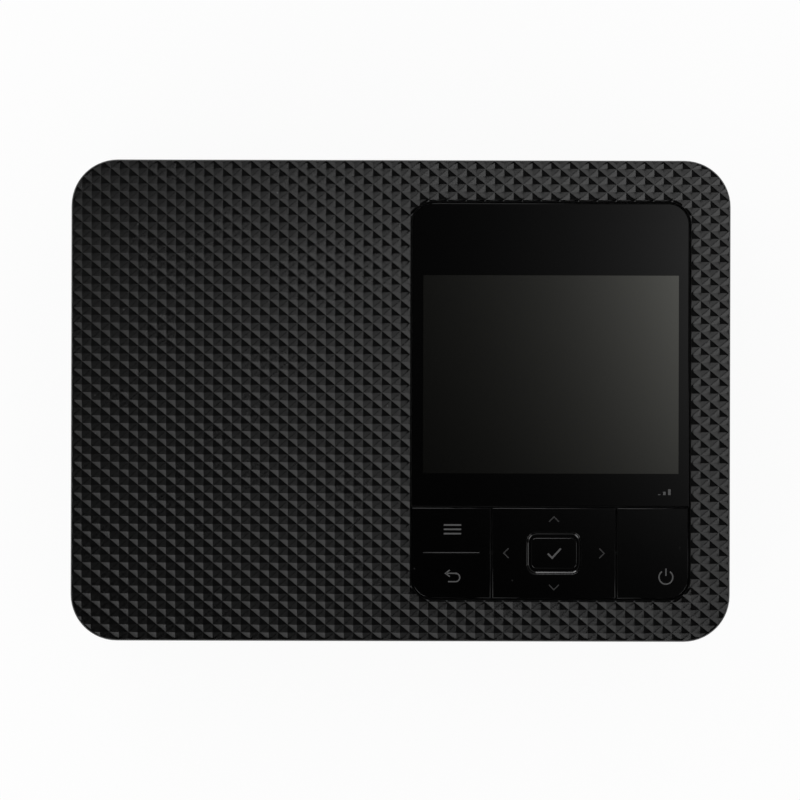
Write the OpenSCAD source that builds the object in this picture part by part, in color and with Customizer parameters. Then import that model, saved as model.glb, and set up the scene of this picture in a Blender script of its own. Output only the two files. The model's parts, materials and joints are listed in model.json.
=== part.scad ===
// Compact dye-sublimation photo printer, built as an assembly of separate pieces.
// Millimetres. X runs right and Y runs back as the user faces the keys, Z is up.
// The origin lies under the middle of the body, on the surface that the feet stand on.

/* [Body] */
// Width of the body
body_w = 182.2; // [176:0.2:190]
// Depth of the body
body_d = 133; // [130:0.5:140]
// Height from the feet's soles to the top
body_h = 57.6; // [57:0.1:62]
// Radius of the body's upright corners
corner_r = 12.8; // [11:0.1:15]
// Wall of the moulded casings
wall = 2.2; // [1.8:0.1:2.4]
// Thickness of the top cover's plate
top_plate = 2.6; // [2.2:0.1:2.8]
// Height of the top cover's rim
top_rim = 6.2; // [5.4:0.1:7]
// Height of the base cover
base_rim = 3.4; // [3:0.1:4]
// Rounding of the top cover's edge
top_round = 1.2; // [0.6:0.1:1.8]
// Rounding of the base cover's edge
base_round = 1.8; // [1:0.1:2.4]
// How far the rubber feet stand below the base
foot_h = 1.6; // [1.2:0.1:2]
// Radius of a rubber foot
foot_r = 6; // [4:0.5:8]

/* [Control panel] */
// Width of the cut-out in the top cover
panel_w = 77.3; // [75:0.1:79]
// Distance of the cut-out from the body's front and back
panel_margin = 11.5; // [11:0.1:14]
// Corner radius of the cut-out
panel_r = 6.2; // [4:0.1:8]
// Distance of the cut-out from the body's right side
panel_edge = 11.05; // [10.8:0.05:12]
// How deep the window and keys lie below the top
panel_drop = 0.3; // [0:0.05:0.5]
// Gap all round the window and the keys
panel_gap = 0.45; // [0.3:0.05:0.6]
// Depth of the row of keys
key_row = 25; // [23:0.5:27]
// Thickness of the display window
window_t = 1.2; // [1:0.1:1.5]
// Thickness of the key plates
key_t = 1.8; // [1.6:0.1:2]
// Width of the menu key
menu_w = 21.8; // [18:0.2:24]
// Width of the direction pad
dpad_w = 34; // [31:0.5:36]
// Width of the centre key
ok_w = 12.7; // [11:0.1:14]
// Depth of the centre key
ok_d = 8.5; // [7:0.1:10]
// Width of the display's glass
lcd_w = 74; // [73:0.1:75]
// Depth of the display's glass
lcd_d = 63; // [60:0.5:64]
// Thickness of the display module
lcd_t = 2.9; // [2.5:0.1:3]
// Width of the picture area
picture_w = 70.8; // [68:0.1:72]
// Depth of the picture area
picture_d = 55; // [53:0.5:57]

/* [Doors] */
// Distance of the paper door from the body's left side
door_edge = 19.5; // [19:0.1:22]
// Height of the paper door
door_h = 32.5; // [30:0.5:34]
// Depth of the ribbon door along the side
side_door_d = 60.2; // [57:0.2:61]
// Distance of the ribbon door's middle from the body's back
side_door_back = 44; // [43.5:0.1:44.5]
// Height of the ribbon door
side_door_h = 29.6; // [28:0.1:30]
// Radius of the rolled lower edge of both doors
barrel_r = 2.6; // [2.4:0.1:3]
// Radius of the doors' hinge pins
pin_r = 1.5; // [1.2:0.1:1.7]
// Gap round both doors
door_gap = 0.4; // [0.3:0.05:0.6]

/* [Paper path] */
// Room for the gears and motors, from the body's left side to the paper path
gear_side = 27.1; // [26.6:0.1:29]
// Room for the ribbon's grip and the sockets, from the paper path to the body's right side
grip_side = 43.1; // [42.6:0.1:45]
// How far the paper's plane lies below the body's mid-height
paper_drop = 2.6; // [2.2:0.1:3.2]
// Radius of the capstan roller
capstan_r = 4; // [3.5:0.1:4.2]
// Radius of the pinch roller
pinch_r = 3.5; // [3:0.1:3.8]
// Radius of the platen roller
platen_r = 8; // [7:0.1:8.4]
// Radius of the pickup rollers
pickup_r = 6.5; // [6:0.1:7]
// Thickness of the steel plates
plate_t = 1.2; // [1:0.1:1.5]

/* [Ribbon cassette] */
// Outer radius of the cassette's two tubes
tube_r = 9; // [8.6:0.1:9.2]
// Wall of the cassette's tubes
tube_wall = 1.1; // [0.8:0.1:1.3]
// Distance between the two spools
spool_gap = 34; // [33.5:0.1:35]
// Radius of the unused ribbon roll
supply_roll_r = 6.6; // [5:0.1:7]
// Radius of the used ribbon roll
takeup_roll_r = 5.2; // [4.5:0.1:6.5]
// Travel when the lever ejects the cassette
eject_travel = 8; // [5:0.5:9]

/* [Gears] */
// Module of the paper feed gears
feed_module = 0.6; // [0.5:0.1:0.6]
// Teeth of the capstan gear
capstan_teeth = 40; // [38:2:40]
// Teeth of the pickup gear and of the idler gear
idler_teeth = 30; // [28:2:30]
// Teeth of the feed motor's pinion
pinion_teeth = 12; // [12:1:13]
// Module of the ribbon drive gears
ribbon_module = 0.5; // [0.4:0.1:0.5]
// Teeth of the ribbon drive gear
ribbon_teeth = 32; // [30:2:32]
// Teeth of the ribbon motor's pinion
ribbon_pinion_teeth = 12; // [12:1:13]
// Face width of the gears
gear_t = 4; // [3:0.5:4]

/* [Hidden] */
$fn = 64;
eps = 0.01;

// Clearances
fit = 0.05;       // radial, for a shaft that turns in a bore
seat = 0.02;      // radial, for a bushing or gear that is pushed on
lip_gap = 0.1;    // between a casing's lip and the wall that it slides into
lip_t = 1.2;      // thickness of the lips
lip_h = 1.2;      // how far a lip reaches past its seam

// Levels
z_base = foot_h;                        // underside of the base cover
z_base_seam = z_base + base_rim;        // base cover to side casing
z_top_seam = body_h - top_rim;          // side casing to top cover
z_floor = z_base + 2;                   // inner face of the base cover's floor
z_plate = body_h - top_plate;           // underside of the top cover's plate
z_chassis = z_floor + 1.4;              // underside of the chassis base
z_panel = body_h - panel_drop;          // face of the window and the keys
z_frame_top = z_plate;                  // top of the panel frame's flange
frame_flange = 1.8;
z_frame_bottom = z_frame_top - frame_flange;
z_key_floor = z_frame_bottom + 1;       // the flange is thinner under the keys
z_key_under = z_panel - key_t;          // underside of the key plates
z_key_board = z_frame_bottom - 1.4;     // top of the panel circuit board
board_t = 1;

// Control panel
panel_d = body_d - 2 * panel_margin;
panel_x = body_w / 2 - panel_edge - panel_w / 2;

// Paper path
inner_x0 = -body_w / 2 + gear_side;      // inner faces of the two side plates
inner_x1 = body_w / 2 - grip_side;
frame_w = inner_x1 - inner_x0;
frame_x = (inner_x0 + inner_x1) / 2;
paper_z = body_h / 2 - paper_drop;
plate_x0 = inner_x0 - plate_t;
plate_x1 = inner_x1 + plate_t;
gear_x0 = plate_x0 - 0.8 - gear_t;       // gears run outside the left plate

// ------------------------------------------------------------------ shapes

module rounded_rect(w, d, r) {
    square([w - 2 * r, d], center = true);
    square([w, d - 2 * r], center = true);
    for (x = [-1, 1], y = [-1, 1])
        translate([x * (w / 2 - r), y * (d / 2 - r)]) circle(r);
}

module rounded_slab(w, d, r, h) {
    linear_extrude(h) rounded_rect(w, d, r);
}

// A 2D profile (outward distance from the corner centres, height) carried round a
// rounded rectangle.
module sweep_round(w, d, r) {
    for (q = [0:3]) {
        x = (q == 0 || q == 3) ? 1 : -1;
        y = (q < 2) ? 1 : -1;
        translate([x * (w / 2 - r), y * (d / 2 - r), 0])
            rotate(90 * q) rotate_extrude(angle = 90) children();
    }
    for (s = [0, 180]) rotate(s) {
        translate([-(w / 2 - r), d / 2 - r, 0])
            rotate([90, 0, 90]) linear_extrude(w - 2 * r) children();
        translate([w / 2 - r, d / 2 - r, 0])
            rotate([90, 0, 0]) linear_extrude(d - 2 * r) children();
    }
}

// A round bar along X from x0 to x1.
module bar_x(x0, x1, y, z, r) {
    translate([x0, y, z]) rotate([0, 90, 0]) cylinder(h = x1 - x0, r = r);
}

module tube_x(x0, x1, y, z, r_out, r_in) {
    difference() {
        bar_x(x0, x1, y, z, r_out);
        bar_x(x0 - eps, x1 + eps, y, z, r_in);
    }
}

module hole_x(x0, x1, y, z, r) {
    bar_x(x0 - eps, x1 + eps, y, z, r);
}

// ------------------------------------------------------------------ casings

casing_color = [0.1, 0.1, 0.11];
steel_color = [0.62, 0.64, 0.66];
seam_bevel = 0.3;
screw_r = 1.5;
screw_head_r = 2.8;
screw_head_h = 1.8;
boss_r = 3.6;
counterbore_top = z_base + 2.2;
boss_shift = (corner_r - wall - boss_r + 0.6) / sqrt(2);
boss_x = body_w / 2 - corner_r + boss_shift;
boss_y = body_d / 2 - corner_r + boss_shift;
corner_signs = [[1, 1], [-1, 1], [-1, -1], [1, -1]];

module at_corners() {
    for (s = corner_signs) translate([s[0] * boss_x, s[1] * boss_y, 0]) children();
}

// Upright wall between two levels, bevelled outside at each seam.
module wall_profile(low, high, low_bevel, high_bevel) {
    polygon([
        [corner_r - wall, low], [corner_r - low_bevel, low], [corner_r, low + low_bevel],
        [corner_r, high - high_bevel], [corner_r - high_bevel, high],
        [corner_r - wall, high]
    ]);
}

// A quarter of a disc in the quadrant that starts at the angle turn.
module quarter_disc(r, turn) {
    rotate(turn) intersection() {
        circle(r);
        square(r);
    }
}

module top_rim_profile() {
    inner = corner_r - wall;
    lip_out = inner - lip_gap;
    difference() {
        union() {
            wall_profile(z_top_seam, body_h - top_round, seam_bevel, 0);
            translate([0, z_plate]) square([corner_r - top_round, top_plate]);
            translate([corner_r - top_round, body_h - top_round])
                quarter_disc(top_round, 0);
            translate([inner, z_plate]) square([wall - top_round, top_plate]);
        }
        translate([-top_round, z_plate - top_round]) square([top_round, 2 * body_h]);
    }
    translate([lip_out - lip_t, z_top_seam - lip_h]) square([lip_t, lip_h + 2]);
    translate([lip_out - lip_t, z_top_seam + lip_gap]) square([lip_t + 1, 2 - lip_gap]);
}

module base_rim_profile() {
    inner = corner_r - wall;
    lip_out = inner - lip_gap;
    wall_profile(z_base + base_round, z_base_seam, 0, seam_bevel);
    translate([corner_r - base_round, z_base + base_round]) quarter_disc(base_round, -90);
    translate([inner, z_base]) square([wall - base_round, z_base_seam - z_base]);
    translate([0, z_base]) square([corner_r - base_round, z_floor - z_base]);
    translate([lip_out - lip_t, z_base_seam - 1.2]) square([lip_t + 1, 1.2 - lip_gap]);
    translate([lip_out - lip_t, z_base_seam - 1.2]) square([lip_t, 1.2 + lip_h]);
}

module top_cover() {
    color(casing_color) difference() {
        union() {
            sweep_round(body_w, body_d, corner_r) top_rim_profile();
            translate([0, 0, z_plate])
                linear_extrude(top_plate)
                    square([body_w - 2 * corner_r + eps, body_d - 2 * corner_r + eps], true);
            at_corners() translate([0, 0, z_top_seam]) cylinder(h = top_rim - 1, r = boss_r);
        }
        at_corners() translate([0, 0, z_top_seam - 2 * lip_h])
            cylinder(h = 2 * lip_h, r = boss_r + 0.3);
        translate([panel_x, 0, z_plate - 2])
            rounded_slab(panel_w, panel_d, panel_r, top_plate + 3);
        at_corners() translate([0, 0, z_top_seam - 1])
            cylinder(h = case_screw_top - z_top_seam + 1.2, r = screw_r + seat);
        for (p = frame_screw_spots) translate([p[0], p[1], z_plate - 2])
            cylinder(h = frame_screw_top - z_plate + 2.2, r = small_screw_r + seat);
    }
}

case_screw_top = body_h - 2.4;
small_screw_r = 0.9;
small_head_r = 1.8;
small_head_h = 1.2;
frame_screw_top = z_plate + 1.2;
frame_screw_x = panel_w / 2 + 3;
frame_screw_spots = [
    for (s = [-1, 1], y = [-40, 0, 40]) [panel_x + s * frame_screw_x, y]
];

// The paper door lies flush in the front wall, the ribbon door in the right wall.
door_x0 = -body_w / 2 + door_edge;
door_x1 = inner_x1 + 1.6;
door_w = door_x1 - door_x0;
door_mid_x = (door_x0 + door_x1) / 2;
door_axis_y = -body_d / 2 + barrel_r;
door_axis_z = z_base_seam + 2.4 + barrel_r;
door_bottom = door_axis_z - barrel_r;
door_top = door_bottom + door_h;
side_door_y = body_d / 2 - side_door_back;
side_door_y0 = side_door_y - side_door_d / 2;
side_door_y1 = side_door_y + side_door_d / 2;
side_axis_x = body_w / 2 - barrel_r;
side_door_top = z_top_seam - lip_h - 0.7;
side_door_bottom = side_door_top - side_door_h;
side_axis_z = side_door_bottom + barrel_r;
hinge_boss = 4;
hinge_pin_l = 3;
hinge_reach = barrel_r + 1.9;
hinge_half = barrel_r + 0.8;

slot_x = body_w / 2 - 25.1;
card_slot = [24.5, 2.4];
slot_depth = 40;
rear_slot_w = frame_w - 8;
rear_slot_h = 6;
vent_w = 2;
vent_h = 9;
vent_pitch = 4;
vent_z = z_top_seam - 10.4;
inlet_x = body_w / 2 - 19.1;
usb_x = body_w / 2 - 33.1;

sill_gap = 0.3;

module casing_cuts() {
    translate([door_x0 - door_gap, -body_d, door_bottom - sill_gap])
        cube([door_w + 2 * door_gap, body_d / 2 + wall + 1, door_h + sill_gap + door_gap]);
    translate([body_w / 2 - wall - 1, side_door_y0 - door_gap, side_door_bottom - sill_gap])
        cube([wall + 9, side_door_d + 2 * door_gap, side_door_h + sill_gap + door_gap]);
    translate([slot_x - card_slot[0] / 2, -body_d, card_z - card_slot[1] / 2])
        cube([card_slot[0], body_d, card_slot[1]]);
    translate([frame_x - rear_slot_w / 2, 0, paper_z - rear_slot_h / 2])
        cube([rear_slot_w, body_d, rear_slot_h]);
    for (i = [-10:10]) translate([i * vent_pitch - vent_w / 2, 0, vent_z - vent_h / 2])
        cube([vent_w, body_d, vent_h]);
    translate([inlet_x, 0, inlet_z]) rotate([-90, 0, 0]) cylinder(h = body_d, r = inlet_r);
    translate([usb_x - usb_hole_w / 2, 0, usb_z - usb_hole_h / 2])
        cube([usb_hole_w, body_d, usb_hole_h]);
}

module hinge_bosses() {
    for (x = [door_x0 - door_gap - hinge_boss, door_x1 + door_gap])
        translate([x, -body_d / 2 + 0.5, door_axis_z - hinge_half])
            cube([hinge_boss, barrel_r + hinge_reach - 0.5, 2 * hinge_half]);
    for (y = [side_door_y0 - door_gap - hinge_boss, side_door_y1 + door_gap])
        translate([side_axis_x - hinge_reach, y, side_axis_z - hinge_half])
            cube([hinge_reach + barrel_r - 0.5, hinge_boss, 2 * hinge_half]);
}

module hinge_bores() {
    reach = hinge_pin_l + 0.3;
    bar_x(door_x0 - door_gap - reach, door_x0, door_axis_y, door_axis_z, pin_r + fit);
    bar_x(door_x1, door_x1 + door_gap + reach, door_axis_y, door_axis_z, pin_r + fit);
    for (y = [side_door_y0 - door_gap - reach, side_door_y1])
        translate([side_axis_x, y, side_axis_z]) rotate([-90, 0, 0])
            cylinder(h = reach + door_gap, r = pin_r + fit);
}

module side_casing() {
    color(casing_color) difference() {
        union() {
            sweep_round(body_w, body_d, corner_r)
                wall_profile(z_base_seam, z_top_seam, seam_bevel, seam_bevel);
            at_corners() translate([0, 0, z_base_seam])
                cylinder(h = z_top_seam - z_base_seam, r = boss_r);
            intersection() {
                hinge_bosses();
                translate([0, 0, z_base_seam])
                    rounded_slab(body_w - 1, body_d - 1, corner_r - 0.5, body_h);
            }
        }
        casing_cuts();
        hinge_bores();
        at_corners() translate([0, 0, z_base_seam - 1])
            cylinder(h = body_h, r = screw_r + seat);
    }
}

foot_x = body_w / 2 - 22;
foot_y = body_d / 2 - 20;
foot_seat = 0.8;
standoff_r = 3;
chassis_x0 = frame_x - frame_w / 2 - 20;
chassis_x1 = frame_x + frame_w / 2 + plate_t;
chassis_y0 = -body_d / 2 + wall + 8;
chassis_y1 = body_d / 2 - wall - 6;
chassis_spots = [
    for (x = [chassis_x0 + 6, chassis_x1 - 22], y = [chassis_y0 + 6, chassis_y1 - 6]) [x, y]
];
board_z = 14;
board_x0 = chassis_x1 + 2.4;
board_x1 = side_axis_x - hinge_reach - 0.9;
board_y = body_d / 2 - wall - 4;
board_spots = [
    for (x = [board_x0 + 4, board_x1 - 4], y = [-28, 36]) [x, y]
];

module base_cover() {
    color(casing_color) difference() {
        union() {
            sweep_round(body_w, body_d, corner_r) base_rim_profile();
            translate([0, 0, z_base]) linear_extrude(z_floor - z_base)
                square([body_w - 2 * corner_r + eps, body_d - 2 * corner_r + eps], true);
            at_corners() translate([0, 0, z_base + 0.5])
                cylinder(h = z_base_seam - z_base - 0.5, r = boss_r);
            for (p = chassis_spots) translate([p[0], p[1], z_floor - 1])
                cylinder(h = z_chassis - z_floor + 1, r = standoff_r);
            for (p = board_spots) translate([p[0], p[1], z_floor - 1])
                cylinder(h = board_z - z_floor + 1, r = standoff_r);
        }
        at_corners() translate([0, 0, z_base_seam])
            cylinder(h = 2 * lip_h, r = boss_r + 0.3);
        at_corners() translate([0, 0, z_base - 1]) {
            cylinder(h = 10, r = screw_r + seat);
            cylinder(h = counterbore_top - z_base + 1, r = screw_head_r + 0.2);
        }
        for (x = [-1, 1], y = [-1, 1]) translate([x * foot_x, y * foot_y, z_base - 1])
            cylinder(h = 1 + foot_seat, r = foot_r + seat);
        for (p = chassis_spots) translate([p[0], p[1], z_floor - 1])
            cylinder(h = 10, r = small_screw_r + seat);
        for (p = board_spots) translate([p[0], p[1], z_floor])
            cylinder(h = board_z, r = small_screw_r + seat);
        for (i = [-8:8]) translate([i * vent_pitch - 1, -6, z_base - 1])
            cube([vent_w, 12, 8]);
    }
}

module rubber_feet() {
    color([0.2, 0.2, 0.2]) for (x = [-1, 1], y = [-1, 1])
        translate([x * foot_x, y * foot_y, 0]) {
            cylinder(h = foot_h + foot_seat, r = foot_r);
        }
}

module case_screws() {
    color(steel_color) at_corners() {
        translate([0, 0, counterbore_top - screw_head_h]) difference() {
            cylinder(h = screw_head_h, r = screw_head_r);
            translate([-2, -0.4, -1]) cube([4, 0.8, 1.9]);
            translate([-0.4, -2, -1]) cube([0.8, 4, 1.9]);
        }
        translate([0, 0, counterbore_top - eps])
            cylinder(h = case_screw_top - counterbore_top, r = screw_r);
    }
}

module small_screw(length) {
    translate([0, 0, -length]) cylinder(h = length + eps, r = small_screw_r);
    difference() {
        cylinder(h = small_head_h, r = small_head_r);
        translate([-1.2, -0.25, 0.6]) cube([2.4, 0.5, 1]);
    }
}

// Screws of the panel frame, the chassis and the main board.
module small_screws() {
    color(steel_color) {
        for (p = frame_screw_spots) translate([p[0], p[1], z_frame_bottom])
            rotate([180, 0, 0]) small_screw(frame_screw_top - z_frame_bottom);
        for (p = chassis_spots) translate([p[0], p[1], z_chassis + plate_t]) small_screw(3);
        for (p = board_spots) translate([p[0], p[1], board_z + board_t]) small_screw(6);
    }
}

// Paper door: a plate with a rolled lower edge, hinge pins and a finger scoop.
module front_door() {
    color([0.09, 0.09, 0.1]) difference() {
        union() {
            translate([door_x0, -body_d / 2, door_axis_z])
                cube([door_w, wall, door_h - barrel_r]);
            bar_x(door_x0, door_x1, door_axis_y, door_axis_z, barrel_r);
            bar_x(door_x0 - door_gap - hinge_pin_l, door_x1 + door_gap + hinge_pin_l,
                door_axis_y, door_axis_z, pin_r);
            translate([door_mid_x - 30, -body_d / 2 + wall - 0.5, door_top - 8])
                cube([60, 2, 1.5]);
        }
        translate([door_mid_x, -body_d / 2 - 14.6, door_top + 3]) rotate([0, 90, 0])
            translate([0, 0, -12]) cylinder(h = 24, r = 15.6);
    }
}

// Ribbon door, hinged along its lower edge in the right wall.
module ribbon_door() {
    color([0.09, 0.09, 0.1]) difference() {
        union() {
            translate([body_w / 2 - wall, side_door_y0, side_axis_z])
                cube([wall, side_door_d, side_door_h - barrel_r]);
            translate([side_axis_x, side_door_y0, side_axis_z]) rotate([-90, 0, 0])
                cylinder(h = side_door_d, r = barrel_r);
            translate([side_axis_x, side_door_y0 - door_gap - hinge_pin_l, side_axis_z])
                rotate([-90, 0, 0])
                cylinder(h = side_door_d + 2 * (door_gap + hinge_pin_l), r = pin_r);
        }
        translate([body_w / 2 + 14.6, side_door_y - 9, side_door_top + 3])
            rotate([-90, 0, 0]) cylinder(h = 18, r = 15.6);
    }
}

// ------------------------------------------------------------------ control panel

panel_x0 = panel_x - panel_w / 2;
panel_x1 = panel_x + panel_w / 2;
key_y1 = -panel_d / 2 + panel_gap + key_row;
key_mid_y = key_y1 - key_row / 2;
menu_x0 = panel_x0 + panel_gap;
menu_x1 = menu_x0 + menu_w;
dpad_x0 = menu_x1 + panel_gap;
dpad_x1 = dpad_x0 + dpad_w;
dpad_cx = (dpad_x0 + dpad_x1) / 2;
menu_cx = (menu_x0 + menu_x1) / 2;
power_x0 = dpad_x1 + panel_gap;
power_x1 = panel_x1 - panel_gap;
power_cx = (power_x0 + power_x1) / 2;
lcd_y = key_y1 + lcd_d / 2 + 5.25;
lcd_slack = 0.2;
key_pin_r = 0.5;
key_pin_z = z_frame_bottom + 0.9;
gimbal_x = 12.6;
gimbal_y = 8.4;
gimbal_bar = 1.5;
gimbal_gap = 0.4;
stem_r = 1;
stem_bottom = z_frame_bottom;
stem_x = dpad_w / 2 - 1.1;
gimbal_pin_l = 1.5;
stem_y = key_row / 2 - 2.1;
rock_y = 8.5;
guide_r = 1.2;
guide_x = 6;
guide_bottom = z_key_board + 0.8;
switch_top = stem_bottom - 0.35;

// One flat piece of the panel between two X and two Y lines, inside the cut-out's outline.
module panel_area(x0, x1, y0, y1) {
    intersection() {
        translate([panel_x, 0]) rounded_rect(panel_w - 2 * panel_gap,
            panel_d - 2 * panel_gap, panel_r - panel_gap);
        translate([x0, y0]) square([x1 - x0, y1 - y0]);
    }
}

module key_plate(x0, x1) {
    translate([0, 0, z_key_under]) linear_extrude(key_t)
        panel_area(x0, x1, -panel_d / 2, key_y1);
}

module panel_frame() {
    ledge_gap = 0.15;
    flange_w = panel_w + 12;
    flange_d = panel_d + 6;
    color([0.14, 0.14, 0.15]) difference() {
        union() {
            translate([panel_x, 0, z_frame_bottom])
                rounded_slab(flange_w, flange_d, panel_r + 2, frame_flange);
            translate([panel_x, 0, z_frame_top - eps])
                rounded_slab(panel_w - 2 * ledge_gap, panel_d - 2 * ledge_gap,
                    panel_r - ledge_gap, z_panel - window_t - z_frame_top + eps);
            for (s = [-1, 1]) translate([power_cx + s * guide_x, key_mid_y, z_key_board + 1])
                cylinder(h = z_frame_bottom - z_key_board, r = guide_r + 1);
        }
        // The keys' well
        translate([0, 0, z_key_floor]) linear_extrude(5) intersection() {
            translate([panel_x, 0]) rounded_rect(panel_w, panel_d, panel_r);
            translate([panel_x0, -panel_d / 2])
                square([panel_w, key_y1 + panel_gap / 2 + panel_d / 2]);
        }
        at_corners() cylinder(h = 2 * body_h, r = boss_r + 0.4);
        // The display's well
        translate([panel_x - lcd_w / 2 - lcd_slack, lcd_y - lcd_d / 2 - lcd_slack, z_plate - 5])
            cube([lcd_w + 2 * lcd_slack, lcd_d + 2 * lcd_slack, 10]);
        // The direction pad's gimbal and the keys' stems
        translate([dpad_cx - gimbal_x - gimbal_gap, key_mid_y - gimbal_y - gimbal_gap, 0])
            cube([2 * (gimbal_x + gimbal_gap), 2 * (gimbal_y + gimbal_gap), 2 * body_h]);
        bar_x(dpad_cx - gimbal_x - 2, dpad_cx + gimbal_x + 2, key_mid_y, key_pin_z,
            key_pin_r + fit);
        for (s = [-1, 1]) {
            translate([dpad_cx + s * stem_x, key_mid_y, 0]) cylinder(h = 99, r = stem_r + 0.4);
            translate([dpad_cx, key_mid_y + s * stem_y, 0]) cylinder(h = 99, r = stem_r + 0.4);
            translate([menu_cx, key_mid_y + s * rock_y, 0]) cylinder(h = 99, r = stem_r + 0.4);
            translate([power_cx + s * guide_x, key_mid_y, 0])
                cylinder(h = 99, r = guide_r + fit);
        }
        translate([power_cx, key_mid_y, 0]) cylinder(h = 99, r = stem_r + 0.4);
        translate([menu_cx - menu_w / 2 + 3, key_mid_y - 1.4, 0])
            cube([menu_w - 6, 2.8, 99]);
        bar_x(menu_x0 + 1, menu_x1 - 1, key_mid_y, key_pin_z - 0.2, key_pin_r + fit);
        for (p = frame_screw_spots) translate([p[0], p[1], 0])
            cylinder(h = 99, r = small_screw_r + 0.2);
    }
}

module display_window() {
    color([0.03, 0.03, 0.035]) translate([0, 0, z_panel - window_t]) linear_extrude(window_t)
        panel_area(panel_x0, panel_x1, key_y1 + panel_gap, panel_d / 2);
}

module display_module() {
    z0 = z_panel - window_t - lcd_t;
    color([0.3, 0.31, 0.3]) translate([panel_x - lcd_w / 2, lcd_y - lcd_d / 2, z0])
        cube([lcd_w, lcd_d, lcd_t - 0.6]);
    color([0.2, 0.21, 0.2])
        translate([panel_x - picture_w / 2, lcd_y - picture_d / 2, z0 + lcd_t - 0.6 - eps])
        cube([picture_w, picture_d, 0.6 + eps]);
}

module menu_back_key() {
    color([0.05, 0.05, 0.055]) {
        key_plate(menu_x0, menu_x1);
        translate([menu_x0 + 3.5, key_mid_y - 0.9, key_pin_z - 1])
            cube([menu_w - 7, 1.8, z_key_under - key_pin_z + 1 + eps]);
        bar_x(menu_x0 + 1.3, menu_x1 - 1.3, key_mid_y, key_pin_z - 0.2, key_pin_r);
        for (s = [-1, 1]) translate([menu_cx, key_mid_y + s * rock_y, stem_bottom])
            cylinder(h = z_key_under - stem_bottom + eps, r = stem_r);
        translate([menu_cx - 7.8, key_mid_y - 0.25, z_panel - eps]) cube([15.6, 0.5, 0.25]);
    }
}

ok_moat = 1.2;
ok_slack = 0.1;
ok_flange = 1;

module dpad_key() {
    bore_w = ok_w + 2 * ok_slack;
    bore_d = ok_d + 2 * ok_slack;
    color([0.06, 0.06, 0.065]) difference() {
        union() {
            key_plate(dpad_x0, dpad_x1);
            for (s = [-1, 1]) {
                translate([dpad_cx - 1.5, key_mid_y + s * (gimbal_y - gimbal_bar - 0.9) - 0.6,
                    key_pin_z - 0.7]) cube([3, 1.2, z_key_under - key_pin_z + 0.7 + eps]);
                translate([dpad_cx, key_mid_y + s * (gimbal_y - gimbal_bar / 2 - 1),
                    key_pin_z]) rotate([90, 0, 0])
                    cylinder(h = gimbal_bar + 0.8, r = key_pin_r, center = true);
                translate([dpad_cx + s * stem_x, key_mid_y, stem_bottom])
                    cylinder(h = z_key_under - stem_bottom + eps, r = stem_r);
                translate([dpad_cx, key_mid_y + s * stem_y, stem_bottom])
                    cylinder(h = z_key_under - stem_bottom + eps, r = stem_r);
            }
        }
        translate([dpad_cx, key_mid_y, z_key_under - 1])
            rounded_slab(bore_w, bore_d, 1.6, key_t + 2);
        translate([dpad_cx, key_mid_y, z_panel - 0.8])
            rounded_slab(ok_w + 2 * ok_moat, ok_d + 2 * ok_moat, 2.6, 2);
    }
}

module dpad_cradle() {
    h = 1.6;
    color([0.7, 0.7, 0.68]) difference() {
        union() {
            translate([dpad_cx - gimbal_x, key_mid_y - gimbal_y, key_pin_z - h / 2])
                cube([2 * gimbal_x, 2 * gimbal_y, h]);
            bar_x(dpad_cx - gimbal_x - gimbal_pin_l, dpad_cx + gimbal_x + gimbal_pin_l,
                key_mid_y, key_pin_z, key_pin_r);
        }
        translate([dpad_cx - gimbal_x + gimbal_bar, key_mid_y - gimbal_y + gimbal_bar, 0])
            cube([2 * (gimbal_x - gimbal_bar), 2 * (gimbal_y - gimbal_bar), 99]);
        translate([dpad_cx, key_mid_y, key_pin_z]) rotate([90, 0, 0])
            cylinder(h = 4 * gimbal_y, r = key_pin_r + fit, center = true);
    }
}

module ok_key() {
    flange_z = z_key_under - 0.1;
    color([0.04, 0.04, 0.045]) translate([dpad_cx, key_mid_y, 0]) {
        translate([0, 0, flange_z - 0.6])
            rounded_slab(ok_w, ok_d, 1.5, z_panel - flange_z + 0.6);
        translate([0, 0, flange_z - 0.6])
            rounded_slab(ok_w + 2 * ok_flange, ok_d + 1, 1.6, 0.6);
        translate([0, 0, switch_top + 0.7])
            cylinder(h = flange_z - switch_top - 1, r = 1.5);
    }
}

module power_key() {
    color([0.05, 0.05, 0.055]) {
        key_plate(power_x0, power_x1);
        for (s = [-1, 1]) translate([power_cx + s * guide_x, key_mid_y, guide_bottom])
            cylinder(h = z_key_under - guide_bottom + eps, r = guide_r);
        translate([power_cx, key_mid_y, switch_top + 0.5])
            cylinder(h = z_key_under - switch_top - 0.5 + eps, r = stem_r);
    }
}

switch_spots = [
    [menu_cx, key_mid_y - rock_y], [menu_cx, key_mid_y + rock_y],
    [dpad_cx - stem_x, key_mid_y], [dpad_cx + stem_x, key_mid_y],
    [dpad_cx, key_mid_y - stem_y], [dpad_cx, key_mid_y + stem_y],
    [dpad_cx, key_mid_y], [power_cx, key_mid_y]
];

module panel_circuit_board() {
    color([0.1, 0.3, 0.18]) difference() {
        translate([panel_x0 + 2, key_y1 - key_row - 0.5, z_key_board - board_t])
            cube([panel_w - 4, key_row + 0.6, board_t]);
        for (s = [-1, 1]) translate([power_cx + s * guide_x, key_mid_y, 0])
            cylinder(h = 99, r = guide_r + 0.6);
    }
    // Spacers up to the frame
    color([0.8, 0.8, 0.75]) for (x = [menu_x0 + 4, power_x1 - 4], y = [-1, 1])
        translate([x, key_mid_y + y * (key_row / 2 - 1.5), z_key_board - eps])
        cylinder(h = z_frame_bottom - z_key_board + eps, r = 1);
}

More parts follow.
